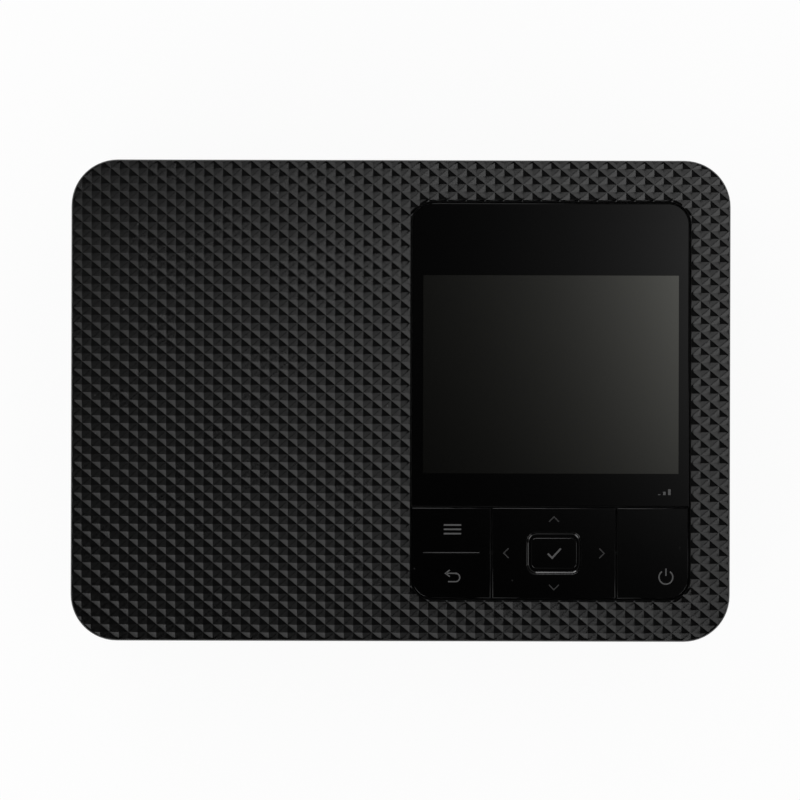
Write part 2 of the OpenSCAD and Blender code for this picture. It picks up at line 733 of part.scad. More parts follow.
module tact_switches() {
    for (p = switch_spots) translate([p[0], p[1], z_key_board]) {
        color([0.7, 0.7, 0.7]) translate([-1.5, -1.5, 0]) cube([3, 3, 0.6]);
        color([0.15, 0.15, 0.15]) cylinder(h = switch_top - z_key_board, r = 0.8);
    }
}

module panel_flex_cable() {
    color([0.75, 0.5, 0.2]) translate([slot_x - 6, key_y1 - 2, board_z + board_t])
        cube([12, 0.3, z_key_board - board_t - board_z - board_t]);
}

// ------------------------------------------------------------------ paper feed

roll_w = frame_w - 11;
shaft_r = 2.5;
bush_t = 1.4;
bush_flange = 1;
paper_gap = 0.3;
supply_y = side_door_y - spool_gap / 2 + 0.5;
takeup_y = supply_y + spool_gap;
capstan_y = supply_y - 15;
capstan_z = paper_z - capstan_r;
pinch_z = paper_z + paper_gap + pinch_r;
platen_y = supply_y + spool_gap / 2;
platen_z = paper_z - platen_r;
platen_shaft_r = 3;
feed_d = feed_module * (capstan_teeth + idler_teeth) / 2;
pickup_y = capstan_y - feed_d * cos(45);
pickup_z = capstan_z + feed_d * sin(45);
idler_z = z_floor + feed_module * idler_teeth / 2 + 2.4;
idler_angle = asin((idler_z - capstan_z) / feed_d);
idler_y = capstan_y + feed_d * cos(idler_angle);
pinion_d = feed_module * (idler_teeth + pinion_teeth) / 2;
pinion_y = idler_y + pinion_d * cos(45);
pinion_z = idler_z + pinion_d * sin(45);

tube_z = paper_z + 2 + tube_r;
spindle_r = 3;
ribbon_pinion_d = ribbon_module * (ribbon_teeth + ribbon_pinion_teeth) / 2;
ribbon_motor_z = tube_z - ribbon_pinion_d;
head_pivot_y = supply_y - 14;
head_pivot_z = z_frame_bottom - 3.2;
head_pivot_r = 1.5;
plate_top = head_pivot_z + 2.4;

// Involute gear tooth outlines, all by formula.
function involute(rb, t) = rb * [cos(t) + t * PI / 180 * sin(t), sin(t) - t * PI / 180 * cos(t)];
function roll_angle(rb, r) = sqrt(max(0, pow(r / rb, 2) - 1)) * 180 / PI;
function spun(p, a) = [p[0] * cos(a) - p[1] * sin(a), p[0] * sin(a) + p[1] * cos(a)];
function pressure_shift(t) = t - atan(t * PI / 180);

gear_steps = 4;
pressure = 20;

// A gear lying in the XY plane, its first tooth on +X turned by phase degrees.
module gear_disc(module_mm, teeth, thickness, bore, phase) {
    r_pitch = module_mm * teeth / 2;
    rb = r_pitch * cos(pressure);
    r_tip = r_pitch + module_mm * 0.9;
    r_root = r_pitch - module_mm * 1.2;
    half = 90 / teeth - 0.16 / r_pitch * 57.3 + pressure_shift(roll_angle(rb, r_pitch));
    r_start = max(rb, r_root);
    t0 = roll_angle(rb, r_start);
    t1 = roll_angle(rb, r_tip);
    flank = [for (i = [0:gear_steps]) involute(rb, t0 + (t1 - t0) * i / gear_steps)];
    tooth = concat(
        [spun([r_root, 0], -half)], [for (p = flank) spun(p, -half)],
        [for (i = [gear_steps:-1:0]) spun([flank[i][0], -flank[i][1]], half)],
        [spun([r_root, 0], half)]
    );
    linear_extrude(thickness) difference() {
        polygon([for (k = [0:teeth - 1], p = tooth) spun(p, phase + 360 * k / teeth)]);
        circle(bore);
    }
}

// A gear whose axis lies along X, from x on, with phase measured from +Y towards +Z.
module gear_x(x, y, z, module_mm, teeth, bore, phase) {
    translate([x, y, z]) rotate([90, 0, 90]) gear_disc(module_mm, teeth, gear_t, bore, phase);
}

// Phase of a gear that meshes with another, whose centre lies at the angle line from it.
function meshed(line, phase_a, teeth_a, teeth_b) =
    line + 180 - 360 / teeth_b * (0.5 - (line - phase_a) * teeth_a / 360);

gear_room = feed_module * (idler_teeth / 2 + 1) + 1;
idler_phase = meshed(idler_angle, 0, capstan_teeth, idler_teeth);
pickup_phase = meshed(135, 0, capstan_teeth, idler_teeth);
pinion_phase = meshed(45, idler_phase, idler_teeth, pinion_teeth);
ribbon_pinion_phase = meshed(-90, 0, ribbon_teeth, ribbon_pinion_teeth);

module chassis_base() {
    color(steel_color) difference() {
        translate([chassis_x0, chassis_y0, z_chassis])
            cube([chassis_x1 - chassis_x0, chassis_y1 - chassis_y0, plate_t]);
        for (p = chassis_spots) translate([p[0], p[1], 0])
            cylinder(h = 99, r = small_screw_r + 0.2);
        translate([gear_x0 - 1, idler_y - gear_room, 0]) cube([gear_t + 2, 2 * gear_room, 99]);
        at_corners() cylinder(h = 99, r = boss_r + 0.5);
    }
}

plate_z0 = z_chassis + plate_t;
plate_y0 = pickup_y - 5.2;
plate_y1 = takeup_y + tube_r + 3;

module side_plate_outline(x) {
    translate([x, plate_y0, plate_z0])
        cube([plate_t, plate_y1 - plate_y0, plate_top - plate_z0]);
}

module shaft_holes(x) {
    for (p = bush_spots)
        hole_x(x, x + plate_t, p[0], p[1], p[2] + bush_t + seat);
    hole_x(x, x + plate_t, head_pivot_y, head_pivot_z, head_pivot_r + seat);
}

bush_spots = [
    [pickup_y, pickup_z, shaft_r], [capstan_y, capstan_z, shaft_r],
    [platen_y, platen_z, platen_shaft_r]
];

module plate_foot(x) {
    translate([x, plate_y0, plate_z0]) cube([8, plate_y1 - plate_y0, plate_t]);
}

module left_side_plate() {
    color(steel_color) difference() {
        union() {
            side_plate_outline(plate_x0);
            plate_foot(plate_x0);
        }
        shaft_holes(plate_x0);
        hole_x(plate_x0, inner_x0, idler_y, idler_z, idler_axle_r + seat);
        for (y = [supply_y, takeup_y])
            hole_x(plate_x0, inner_x0, y, tube_z, spindle_r + fit);
    }
}

lever_x = inner_x1 + 12.7;
lever_reach = 18.48;
lever_half = 12.5;
lever_y = supply_y - tube_r + 5 - lever_reach * cos(lever_half);
lever_tab_z = paper_z + 0.6;
lever_post_r = 1.5;
lever_z = lever_tab_z + plate_t + 0.3;
lever_t = 2;
window_gap = 0.8;
cassette_x0 = inner_x0 + 3;
cassette_x1 = inner_x1 - 2;
grip_x1 = body_w / 2 - wall - 10.9;
grip_z0 = lever_z + lever_t + 0.4;
grip_z1 = tube_z + 6;
peg_r = 1.5;
lever_tip_r = 1.5;
peg_x = lever_x - lever_reach * sin(lever_half) + lever_tip_r + peg_r + 0.3;
peg_y = lever_y + lever_reach * cos(lever_half);
module right_side_plate() {
    color(steel_color) {
        difference() {
            union() {
                side_plate_outline(inner_x1);
                translate([inner_x1 - 8 + plate_t, plate_y0, plate_z0])
                    cube([8, plate_y1 - plate_y0, plate_t]);
                translate([inner_x1, lever_y - 5, lever_tab_z])
                    cube([lever_x + 5 - inner_x1, 10, plate_t]);
            }
            shaft_holes(inner_x1);
            translate([inner_x1 - 1, supply_y - tube_r - window_gap, film_z - window_gap])
                cube([plate_t + 2, spool_gap + 2 * tube_r + 2 * window_gap,
                    tube_z + tube_r + 2 * window_gap - film_z]);
        }
        translate([lever_x, lever_y, lever_tab_z + plate_t - eps])
            cylinder(h = lever_t + 0.5, r = lever_post_r);
    }
}

liner_wall = 1.5;
liner_w = frame_w - 2;
liner_z0 = z_chassis + plate_t + 2.4;
liner_z1 = paper_z - 2.2;
liner_y0 = door_axis_y + barrel_r + 1.6;
liner_y1 = capstan_y - 13.4;

module paper_bay_liner() {
    x0 = frame_x - liner_w / 2;
    depth = liner_y1 - liner_y0;
    color([0.13, 0.13, 0.14]) {
        difference() {
            translate([x0, liner_y0, liner_z0]) cube([liner_w, depth, liner_z1 - liner_z0]);
            translate([x0 + liner_wall, liner_y0 - 1, liner_z0 + liner_wall])
                cube([liner_w - 2 * liner_wall, depth + 2, 99]);
        }
        for (x = [x0 + 6, x0 + liner_w - 14], y = [liner_y0 + 4, liner_y1 - 12])
            translate([x, y, plate_z0]) cube([8, 8, liner_z0 - plate_z0 + eps]);
    }
}

guide_t = 1.6;

module rear_paper_guide() {
    w = rear_slot_w - 1;
    y0 = takeup_y + tube_r + 4;
    y1 = body_d / 2 - wall;
    color([0.13, 0.13, 0.14]) {
        for (z = [paper_z - rear_slot_h / 2 - guide_t, paper_z + rear_slot_h / 2])
            translate([frame_x - w / 2, y0, z]) cube([w, y1 - y0, guide_t]);
        for (x = [frame_x - w / 2, frame_x + w / 2 - guide_t])
            translate([x, y0, plate_z0])
                cube([guide_t, y1 - y0 - 6.3, paper_z + rear_slot_h / 2 + guide_t - plate_z0]);
    }
}

module shaft_bushings() {
    color([0.75, 0.6, 0.35]) for (p = bush_spots, side = [0, 1]) {
        x = side == 0 ? plate_x0 - 0.5 : inner_x1 - bush_flange;
        length = plate_t + 0.5 + bush_flange;
        flange_x = side == 0 ? inner_x0 : inner_x1 - bush_flange;
        difference() {
            union() {
                bar_x(x, x + length, p[0], p[1], p[2] + bush_t);
                bar_x(flange_x, flange_x + bush_flange, p[0], p[1], p[2] + bush_t + 1);
            }
            hole_x(x, x + length, p[0], p[1], p[2] + fit);
        }
    }
}

module pickup_shaft() {
    color(steel_color)
        bar_x(gear_x0 - 0.6, plate_x1 + 0.6, pickup_y, pickup_z, shaft_r);
}

module pickup_rollers() {
    color([0.25, 0.25, 0.25]) for (x = [-24, 24])
        tube_x(frame_x + x - 6, frame_x + x + 6, pickup_y, pickup_z, pickup_r, shaft_r + seat);
}

module pickup_gear() {
    color([0.85, 0.85, 0.8]) gear_x(gear_x0, pickup_y, pickup_z, feed_module, idler_teeth,
        shaft_r + seat, pickup_phase);
}

module capstan_roller() {
    color([0.5, 0.5, 0.5]) {
        bar_x(gear_x0 - 0.6, plate_x1 + 0.6, capstan_y, capstan_z, shaft_r);
        bar_x(frame_x - roll_w / 2, frame_x + roll_w / 2, capstan_y, capstan_z, capstan_r);
    }
}

module capstan_gear() {
    color([0.85, 0.85, 0.8]) gear_x(gear_x0, capstan_y, capstan_z, feed_module,
        capstan_teeth, shaft_r + seat, 0);
}

pinch_pin_r = 1.5;
holder_z = capstan_z + shaft_r + bush_t + bush_flange + 0.2;

module pinch_roller() {
    color([0.55, 0.55, 0.55]) {
        bar_x(frame_x - roll_w / 2, frame_x + roll_w / 2, capstan_y, pinch_z, pinch_r);
        bar_x(inner_x0 + 0.4, inner_x1 - 0.4, capstan_y, pinch_z, pinch_pin_r);
    }
}

module pinch_holders() {
    color([0.3, 0.3, 0.32]) for (x = [inner_x0, inner_x1 - 3]) difference() {
        translate([x, capstan_y - 2.8, holder_z])
            cube([3, 5.6, pinch_z + pinch_r - holder_z]);
        hole_x(x, x + 3, capstan_y, pinch_z, pinch_pin_r + fit);
    }
}

module platen_shaft() {
    color(steel_color)
        bar_x(plate_x0 - 0.2, plate_x1 + 0.6, platen_y, platen_z, platen_shaft_r);
}

module platen_sleeve() {
    color([0.2, 0.2, 0.2]) tube_x(frame_x - roll_w / 2 - 1, frame_x + roll_w / 2 + 1,
        platen_y, platen_z, platen_r, platen_shaft_r + seat);
}

idler_axle_r = 1.5;

module idler_gear() {
    color([0.85, 0.85, 0.8]) gear_x(gear_x0, idler_y, idler_z, feed_module, idler_teeth,
        idler_axle_r + fit, idler_phase);
}

module idler_axle() {
    color(steel_color) {
        bar_x(gear_x0 - 0.4, inner_x0, idler_y, idler_z, idler_axle_r);
        bar_x(gear_x0 - 0.8, gear_x0 - 0.3, idler_y, idler_z, idler_axle_r + 0.8);
    }
}

bracket_x = gear_x0 - 2.2 - plate_t;
motor_l = 14;
feed_motor_r = 11;
ribbon_motor_r = 8;
motor_shaft_r = 1;
motor_pilot_r = 3.5;

// A can motor whose face lies on the bracket.
module can_motor(y, z, r) {
    color([0.6, 0.6, 0.6]) difference() {
        union() {
            bar_x(bracket_x - motor_l, bracket_x, y, z, r);
            bar_x(bracket_x - eps, bracket_x + plate_t, y, z, motor_pilot_r);
        }
        hole_x(bracket_x - motor_l + 2, bracket_x + plate_t, y, z, motor_shaft_r + fit);
    }
}

module motor_pinion(y, z, module_mm, teeth, phase) {
    color([0.8, 0.7, 0.4]) {
        gear_x(gear_x0, y, z, module_mm, teeth, motor_shaft_r - 0.01, phase);
        bar_x(bracket_x - motor_l + 3, gear_x0 + gear_t, y, z, motor_shaft_r);
    }
}

module feed_motor() { can_motor(pinion_y, pinion_z, feed_motor_r); }
module ribbon_motor() { can_motor(takeup_y, ribbon_motor_z, ribbon_motor_r); }

module feed_motor_pinion() {
    motor_pinion(pinion_y, pinion_z, feed_module, pinion_teeth, pinion_phase);
}

module ribbon_motor_pinion() {
    motor_pinion(takeup_y, ribbon_motor_z, ribbon_module, ribbon_pinion_teeth,
        ribbon_pinion_phase);
}

module motor_bracket() {
    y0 = pinion_y - feed_motor_r - 1;
    y1 = takeup_y + ribbon_motor_r + 1;
    color(steel_color) difference() {
        union() {
            translate([bracket_x, y0, plate_z0])
                cube([plate_t, y1 - y0, pinion_z + feed_motor_r - plate_z0]);
            translate([bracket_x - 9, y0, plate_z0]) cube([9 + plate_t, y1 - y0, plate_t]);
        }
        hole_x(bracket_x, bracket_x + plate_t, pinion_y, pinion_z, motor_pilot_r + seat);
        hole_x(bracket_x, bracket_x + plate_t, takeup_y, ribbon_motor_z,
            motor_pilot_r + seat);
    }
}

// ------------------------------------------------------------------ ribbon and head

spool_r = 4.6;
spool_bore = spindle_r + 0.3;
spindle_x1 = inner_x0 + 10;
spool_x0 = cassette_x0 + 1.6;
spool_x1 = cassette_x1 - 0.6;
film_w = frame_w - 12;
film_t = 0.15;
film_z = paper_z + 0.35;

module takeup_spindle() {
    color([0.8, 0.8, 0.78]) {
        bar_x(gear_x0 - 0.6, spindle_x1, takeup_y, tube_z, spindle_r);
        bar_x(inner_x0 + 0.4, inner_x0 + 1.4, takeup_y, tube_z, spindle_r + 1.5);
    }
}

module takeup_gear() {
    color([0.85, 0.85, 0.8]) gear_x(gear_x0, takeup_y, tube_z, ribbon_module, ribbon_teeth,
        spindle_r + seat, 0);
}

module supply_spindle() {
    color([0.8, 0.8, 0.78]) {
        bar_x(plate_x0 - 0.6, spindle_x1, supply_y, tube_z, spindle_r);
        bar_x(inner_x0 + 0.4, inner_x0 + 1.4, supply_y, tube_z, spindle_r + 1.5);
    }
}

module spool(y, roll_r) {
    color([0.75, 0.75, 0.72]) difference() {
        bar_x(spool_x0, spool_x1, y, tube_z, spool_r);
        hole_x(spool_x0, spool_x0 + 12, y, tube_z, spool_bore);
    }
    color([0.1, 0.08, 0.12])
        tube_x(frame_x - film_w / 2, frame_x + film_w / 2, y, tube_z, roll_r, spool_r - eps);
}

module supply_spool() { spool(supply_y, supply_roll_r); }
module takeup_spool() { spool(takeup_y, takeup_roll_r); }

module cassette_tube(y, slot_y) {
    difference() {
        bar_x(cassette_x0, cassette_x1, y, tube_z, tube_r);
        bar_x(cassette_x0 + 1.4, cassette_x1 - 0.4, y, tube_z, tube_r - tube_wall);
        hole_x(cassette_x0, cassette_x0 + 2, y, tube_z, spool_r);
        translate([frame_x - film_w / 2 - 0.6, slot_y, tube_z - tube_r - 1])
            cube([film_w + 1.2, 6.6, tube_r + 1.6]);
    }
}

module cassette_shell() {
    y0 = supply_y - 4;
    y1 = takeup_y + 4;
    color([0.16, 0.16, 0.17]) {
        cassette_tube(supply_y, supply_y + 3);
        cassette_tube(takeup_y, takeup_y - 9.6);
        // Low bar under the head, at the end that goes in first
        difference() {
            translate([cassette_x0, y0, film_z + 0.9]) cube([2.4, y1 - y0, 1.6]);
            for (y = [supply_y, takeup_y])
                bar_x(cassette_x0 - 1, cassette_x0 + 9, y, tube_z, tube_r - 0.4);
        }
        // Grip end
        difference() {
            translate([cassette_x1 - eps, supply_y - tube_r, grip_z0])
                cube([grip_x1 - cassette_x1, spool_gap + 2 * tube_r, grip_z1 - grip_z0]);
            translate([cassette_x1 + 3, supply_y + tube_r - 4, grip_z0 - 1])
                cube([grip_x1 - cassette_x1 - 7, spool_gap - 2 * tube_r + 8, 99]);
        }
        translate([peg_x, peg_y, lever_z + 0.3])
            cylinder(h = grip_z0 - lever_z - 0.3 + eps, r = peg_r);
    }
}

// Film between the rolls: down from the supply roll, flat over the platen, and up again.
module ribbon_film() {
    a = [supply_y + supply_roll_r + 0.5, tube_z];
    b = [supply_y + tube_r + 2, film_z];
    c = [takeup_y - tube_r - 2, film_z];
    d = [takeup_y - takeup_roll_r - 0.5, tube_z];
    color([0.12, 0.1, 0.14]) translate([frame_x - film_w / 2, 0, 0])
        rotate([90, 0, 90]) linear_extrude(film_w) {
            polygon([a, [a[0] + film_t, a[1]], b + [0, film_t], c + [0, film_t],
                [d[0] - film_t, d[1]], d, c, b]);
        }
}

head_lift = 2.4;
head_tip_y = platen_y + 1.6;
head_tip_z = film_z + head_lift + 0.25;
head_w = frame_w - 16;
board_h = 1.6;

module head_pivot_shaft() {
    color(steel_color) bar_x(plate_x0, plate_x1, head_pivot_y, head_pivot_z, head_pivot_r);
}

module head_bracket() {
    x0 = frame_x - head_w / 2;
    z_arm = tube_z + tube_r + 1.6;
    ear_z0 = min(z_arm, head_pivot_z);
    ear_z1 = max(z_arm + 2, head_pivot_z);
    color([0.66, 0.68, 0.7]) difference() {
        union() {
            translate([x0, head_pivot_y, z_arm])
                cube([head_w, head_tip_y + 5 - head_pivot_y, plate_t]);
            for (x = [x0, x0 + head_w - plate_t]) {
                bar_x(x, x + plate_t, head_pivot_y, head_pivot_z, 2.6);
                translate([x, head_pivot_y, ear_z0]) cube([plate_t, 12, ear_z1 - ear_z0]);
            }
            translate([x0 + 4, head_tip_y - 0.6, head_tip_z + 13])
                cube([head_w - 8, plate_t, z_arm - head_tip_z - 13 + eps]);
        }
        bar_x(x0 - 1, x0 + head_w + 1, head_pivot_y, head_pivot_z, head_pivot_r + fit);
        translate([x0 + plate_t, head_pivot_y - 4, 0])
            cube([head_w - 2 * plate_t, 8, 99]);
    }
}

module head_heatsink() {
    x0 = frame_x - head_w / 2 + 2;
    color([0.7, 0.71, 0.72]) difference() {
        translate([x0, head_tip_y - 4, head_tip_z + board_h])
            cube([head_w - 4, 8, 13 - board_h]);
        for (y = [-2.2, 1.8]) translate([x0 - 1, head_tip_y + y - 0.6, head_tip_z + 6])
            cube([head_w, 1.6, 99]);
    }
}

module print_head() {
    x0 = frame_x - head_w / 2 + 2;
    color([0.85, 0.82, 0.7])
        translate([x0, head_tip_y - 4, head_tip_z + 0.6]) cube([head_w - 4, 8, board_h - 0.6]);
    color([0.3, 0.3, 0.3])
        translate([x0, head_tip_y - 0.6, head_tip_z]) cube([head_w - 4, 1.2, 0.6 + eps]);
}

module head_springs() {
    color(steel_color) for (x = [inner_x0, inner_x1 - 3])
        tube_x(x, x + 3, head_pivot_y, head_pivot_z, head_pivot_r + 0.9, head_pivot_r + seat);
}

module eject_lever() {
    tip = [lever_x - lever_reach * sin(lever_half), lever_y + lever_reach * cos(lever_half)];
    finger = [lever_x + 18, lever_y + 12.6];
    color([0.2, 0.35, 0.6]) translate([0, 0, lever_z]) linear_extrude(lever_t) difference() {
        union() {
            translate([lever_x, lever_y]) circle(4);
            arm_2d([lever_x, lever_y], tip, 2 * lever_tip_r);
            arm_2d([lever_x, lever_y], finger, 4);
        }
        translate([lever_x, lever_y]) circle(lever_post_r + fit);
    }
}

// A flat bar with round ends between two points.
module arm_2d(a, b, width) {
    length = norm(b - a);
    translate(a) rotate(atan2(b[1] - a[1], b[0] - a[0])) {
        translate([0, -width / 2]) square([length, width]);
        translate([length, 0]) circle(width / 2);
    }
}

// ------------------------------------------------------------------ electronics

card_t = 3.6;
card_z = board_z + board_t + card_t / 2;
usb_w = 9;
usb_h = 3.2;
usb_hole_w = 9.6;
usb_hole_h = 3.8;
usb_z = board_z + board_t + usb_h / 2;
inlet_r = 3.4;
inlet_w = 9;
inlet_h = 11;
inlet_z = board_z + board_t + inlet_h / 2;

chip_spots = [[12.4, -8], [19.4, 8], [10.4, 22]];

module main_circuit_board() {
    color([0.1, 0.3, 0.18]) difference() {
        translate([board_x0, -board_y, board_z])
            cube([board_x1 - board_x0, 2 * board_y, board_t]);
        at_corners() cylinder(h = 99, r = boss_r + 0.4);
        for (p = board_spots) translate([p[0], p[1], 0])
            cylinder(h = 99, r = small_screw_r + 0.2);
    }
}

// Chips on the main board, with the corner that pin 1 is at cut off.
module board_chips() {
    side = 9;
    color([0.12, 0.12, 0.12]) for (p = chip_spots)
        translate([board_x0 + p[0], p[1], board_z + board_t]) linear_extrude(1.2)
            polygon([[0.8, 0], [side, 0], [side, side], [0, side], [0, 0.8]]);
}

module card_socket() {
    w = card_slot[0] + 3;
    color([0.65, 0.65, 0.66]) difference() {
        translate([slot_x - w / 2, -body_d / 2 + wall + 0.1, board_z + board_t])
            cube([w, slot_depth - 12, card_t]);
        translate([slot_x - card_slot[0] / 2, -body_d, card_z - card_slot[1] / 2])
            cube([card_slot[0], body_d - 38.5, card_slot[1]]);
    }
}

module usb_c_socket() {
    color([0.7, 0.7, 0.7]) difference() {
        translate([usb_x - usb_w / 2, body_d / 2 - wall - 7.4, board_z + board_t])
            cube([usb_w, 7.3, usb_h]);
        translate([usb_x - usb_w / 2 + 0.4, body_d / 2 - wall - 6, board_z + board_t + 0.4])
            cube([usb_w - 0.8, 9, usb_h - 0.8]);
    }
    color([0.1, 0.1, 0.1])
        translate([usb_x - 3.2, body_d / 2 - wall - 6.1, usb_z - 0.35]) cube([6.4, 5, 0.7]);
}

module power_inlet() {
    color([0.08, 0.08, 0.08]) difference() {
        translate([inlet_x - inlet_w / 2, body_d / 2 - wall - 12.1, board_z + board_t])
            cube([inlet_w, 12, inlet_h]);
        translate([inlet_x, body_d / 2 - wall - 10, inlet_z]) rotate([-90, 0, 0])
            cylinder(h = 20, r = inlet_r - 0.5);
    }
    color([0.75, 0.75, 0.7]) translate([inlet_x, body_d / 2 - wall - 10.1, inlet_z])
        rotate([-90, 0, 0]) cylinder(h = 8, r = 0.8);
}

// ------------------------------------------------------------------ all pieces

top_cover();
side_casing();
base_cover();
front_door();
ribbon_door();
rubber_feet();
case_screws();
small_screws();
panel_frame();
display_window();
display_module();
menu_back_key();
dpad_key();
dpad_cradle();
ok_key();
power_key();
panel_circuit_board();
tact_switches();
panel_flex_cable();
chassis_base();
left_side_plate();
right_side_plate();
paper_bay_liner();
rear_paper_guide();
shaft_bushings();
pickup_shaft();
pickup_rollers();
pickup_gear();
capstan_roller();
capstan_gear();
pinch_roller();
pinch_holders();
platen_shaft();
platen_sleeve();
idler_gear();
idler_axle();
feed_motor();
feed_motor_pinion();
motor_bracket();
ribbon_motor();
ribbon_motor_pinion();
takeup_spindle();
takeup_gear();
supply_spindle();
head_pivot_shaft();
head_bracket();
print_head();
head_heatsink();
head_springs();
cassette_shell();
supply_spool();
takeup_spool();
ribbon_film();
eject_lever();
main_circuit_board();
board_chips();
card_socket();
usb_c_socket();
power_inlet();
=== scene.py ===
import json
import math
import random
import bpy
import bmesh
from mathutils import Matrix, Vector


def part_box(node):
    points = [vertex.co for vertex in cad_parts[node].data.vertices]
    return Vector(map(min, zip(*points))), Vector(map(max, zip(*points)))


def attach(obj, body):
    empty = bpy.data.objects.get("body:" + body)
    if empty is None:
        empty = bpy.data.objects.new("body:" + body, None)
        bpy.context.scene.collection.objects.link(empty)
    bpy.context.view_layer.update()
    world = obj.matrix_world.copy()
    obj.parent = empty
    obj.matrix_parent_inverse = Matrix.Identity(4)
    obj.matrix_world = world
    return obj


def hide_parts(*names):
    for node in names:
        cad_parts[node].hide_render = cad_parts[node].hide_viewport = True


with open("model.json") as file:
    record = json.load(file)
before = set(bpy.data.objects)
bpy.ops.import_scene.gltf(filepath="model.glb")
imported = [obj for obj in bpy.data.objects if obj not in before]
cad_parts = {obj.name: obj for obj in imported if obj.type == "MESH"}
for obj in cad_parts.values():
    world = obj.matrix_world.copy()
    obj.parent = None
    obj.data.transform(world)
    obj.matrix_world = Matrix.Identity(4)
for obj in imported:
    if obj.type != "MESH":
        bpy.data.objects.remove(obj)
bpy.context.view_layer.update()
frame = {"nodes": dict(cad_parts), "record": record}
nodes = frame["nodes"]
record = frame["record"]
bodyOf = {name: body for body, names in record["behaviour"]["bodies"].items() for name in names}
scene = bpy.context.scene
mm = 0.001
weld = 0.001 * mm       # corners closer than this are one
near = 0.01 * mm        # heights this close are the same height
slack = 0.02 * mm       # and a corner this close to a wall lies on it
print("frame loaded:", len(nodes), "nodes")


# Node trees

def node(tree, kind, **settings):
    made = tree.nodes.new(kind)
    for name, value in settings.items():
        setattr(made, name, value)
    return made


def setSocket(socket, value):
    # another node's output is linked, and anything else is the socket's own value
    if isinstance(value, bpy.types.NodeSocket):
        socket.id_data.links.new(value, socket)
    else:
        socket.default_value = value


def feed(made, *first, **named):
    # values for a node's inputs, by place or by name
    for index, value in enumerate(first):
        setSocket(made.inputs[index], value)
    for name, value in named.items():
        setSocket(made.inputs[name.replace("_", " ")], value)
    return made


def inUse(sockets):
    return next(socket for socket in sockets if socket.enabled)


def calculate(tree, operation, a, b=0.0, clamp=False):
    made = node(tree, "ShaderNodeMath", operation=operation, use_clamp=clamp)
    return feed(made, a, b).outputs[0]


def times(tree, a, b):
    return calculate(tree, "MULTIPLY", a, b)


def ramp(tree, value, low, high, start=0.0, end=1.0, smooth=True):
    kind = "SMOOTHSTEP" if smooth else "LINEAR"
    made = node(tree, "ShaderNodeMapRange", interpolation_type=kind)
    feed(made, Value=value, From_Min=low, From_Max=high, To_Min=start, To_Max=end)
    return made.outputs["Result"]


def mixColor(tree, factor, a, b):
    made = node(tree, "ShaderNodeMix", data_type="RGBA")
    for name, value in (("Factor", factor), ("A", a), ("B", b)):
        setSocket(inUse(socket for socket in made.inputs if socket.name == name), value)
    return inUse(made.outputs)


def mixShader(tree, factor, a, b):
    return feed(node(tree, "ShaderNodeMixShader"), factor, a, b).outputs[0]


def axesOf(tree, value):
    return feed(node(tree, "ShaderNodeSeparateXYZ"), value).outputs


def vectorOf(tree, x=0.0, y=0.0, z=0.0):
    return feed(node(tree, "ShaderNodeCombineXYZ"), x, y, z).outputs[0]


def objectCoords(tree):
    return node(tree, "ShaderNodeTexCoord").outputs["Object"]


def newGroup(name, kind, inputs, outputs=(("Geometry", "Geometry"),)):
    # inputs are label, type and, where it is used, a first value
    tree = bpy.data.node_groups.new(name, kind)
    for label, socketType, *value in inputs:
        socket = tree.interface.new_socket(label, in_out="INPUT",
                                           socket_type="NodeSocket" + socketType)
        if value:
            socket.default_value = value[0]
    for label, socketType in outputs:
        tree.interface.new_socket(label, in_out="OUTPUT", socket_type="NodeSocket" + socketType)
    return tree, tree.nodes.new("NodeGroupInput").outputs, tree.nodes.new("NodeGroupOutput")


# Effects that the finishes share

def gray(level):
    return (level, level, level, 1)


def shaded(color, share):
    return tuple(part * share for part in color[:3]) + (1,)


def variedRoughness(tree, noise, source):
    offset = calculate(tree, "SUBTRACT", noise, 0.5)
    spread = times(tree, offset, source["Spread"])
    return calculate(tree, "ADD", spread, source["Roughness"], clamp=True)


def randomCells(tree, scale, **settings):
    # the distance to the middle of each cell, and the cell's own random number
    cells = node(tree, "ShaderNodeTexVoronoi", feature="F1", **settings)
    feed(cells, Vector=objectCoords(tree), Scale=scale)
    number = feed(node(tree, "ShaderNodeSeparateColor"), cells.outputs["Color"]).outputs[0]
    return cells.outputs["Distance"], number


def makeGrain():
    # fine moulded grain: a height for Bump and a roughness that varies a little
    tree, source, sink = newGroup(
        "mouldedGrain", "ShaderNodeTree",
        (("Scale", "Float", 1400.0), ("Roughness", "Float", 0.5),
         ("Spread", "Float", 0.08), ("Cloud Scale", "Float", 60.0)),
        (("Height", "Float"), ("Roughness", "Float")))
    coords = objectCoords(tree)
    fine = feed(node(tree, "ShaderNodeTexNoise"), Vector=coords, Scale=source["Scale"],
                Detail=3.0, Roughness=0.6)
    cloud = feed(node(tree, "ShaderNodeTexNoise"), Vector=coords, Scale=source["Cloud Scale"],
                 Detail=2.0)
    feed(sink, Height=fine.outputs["Fac"],
         Roughness=variedRoughness(tree, cloud.outputs["Fac"], source))
    return tree


def makeDust():
    # sparse pale specks, as a mask
    tree, source, sink = newGroup(
        "dustSpecks", "ShaderNodeTree",
        (("Amount", "Float", 0.02), ("Scale", "Float", 260.0)), (("Mask", "Float"),))
    distance, number = randomCells(tree, source["Scale"])
    mask = times(tree, ramp(tree, distance, 0.03, 0.09, 1.0, 0.0),
                 calculate(tree, "LESS_THAN", number, 0.12))
    feed(sink, Mask=times(tree, mask, source["Amount"]))
    return tree


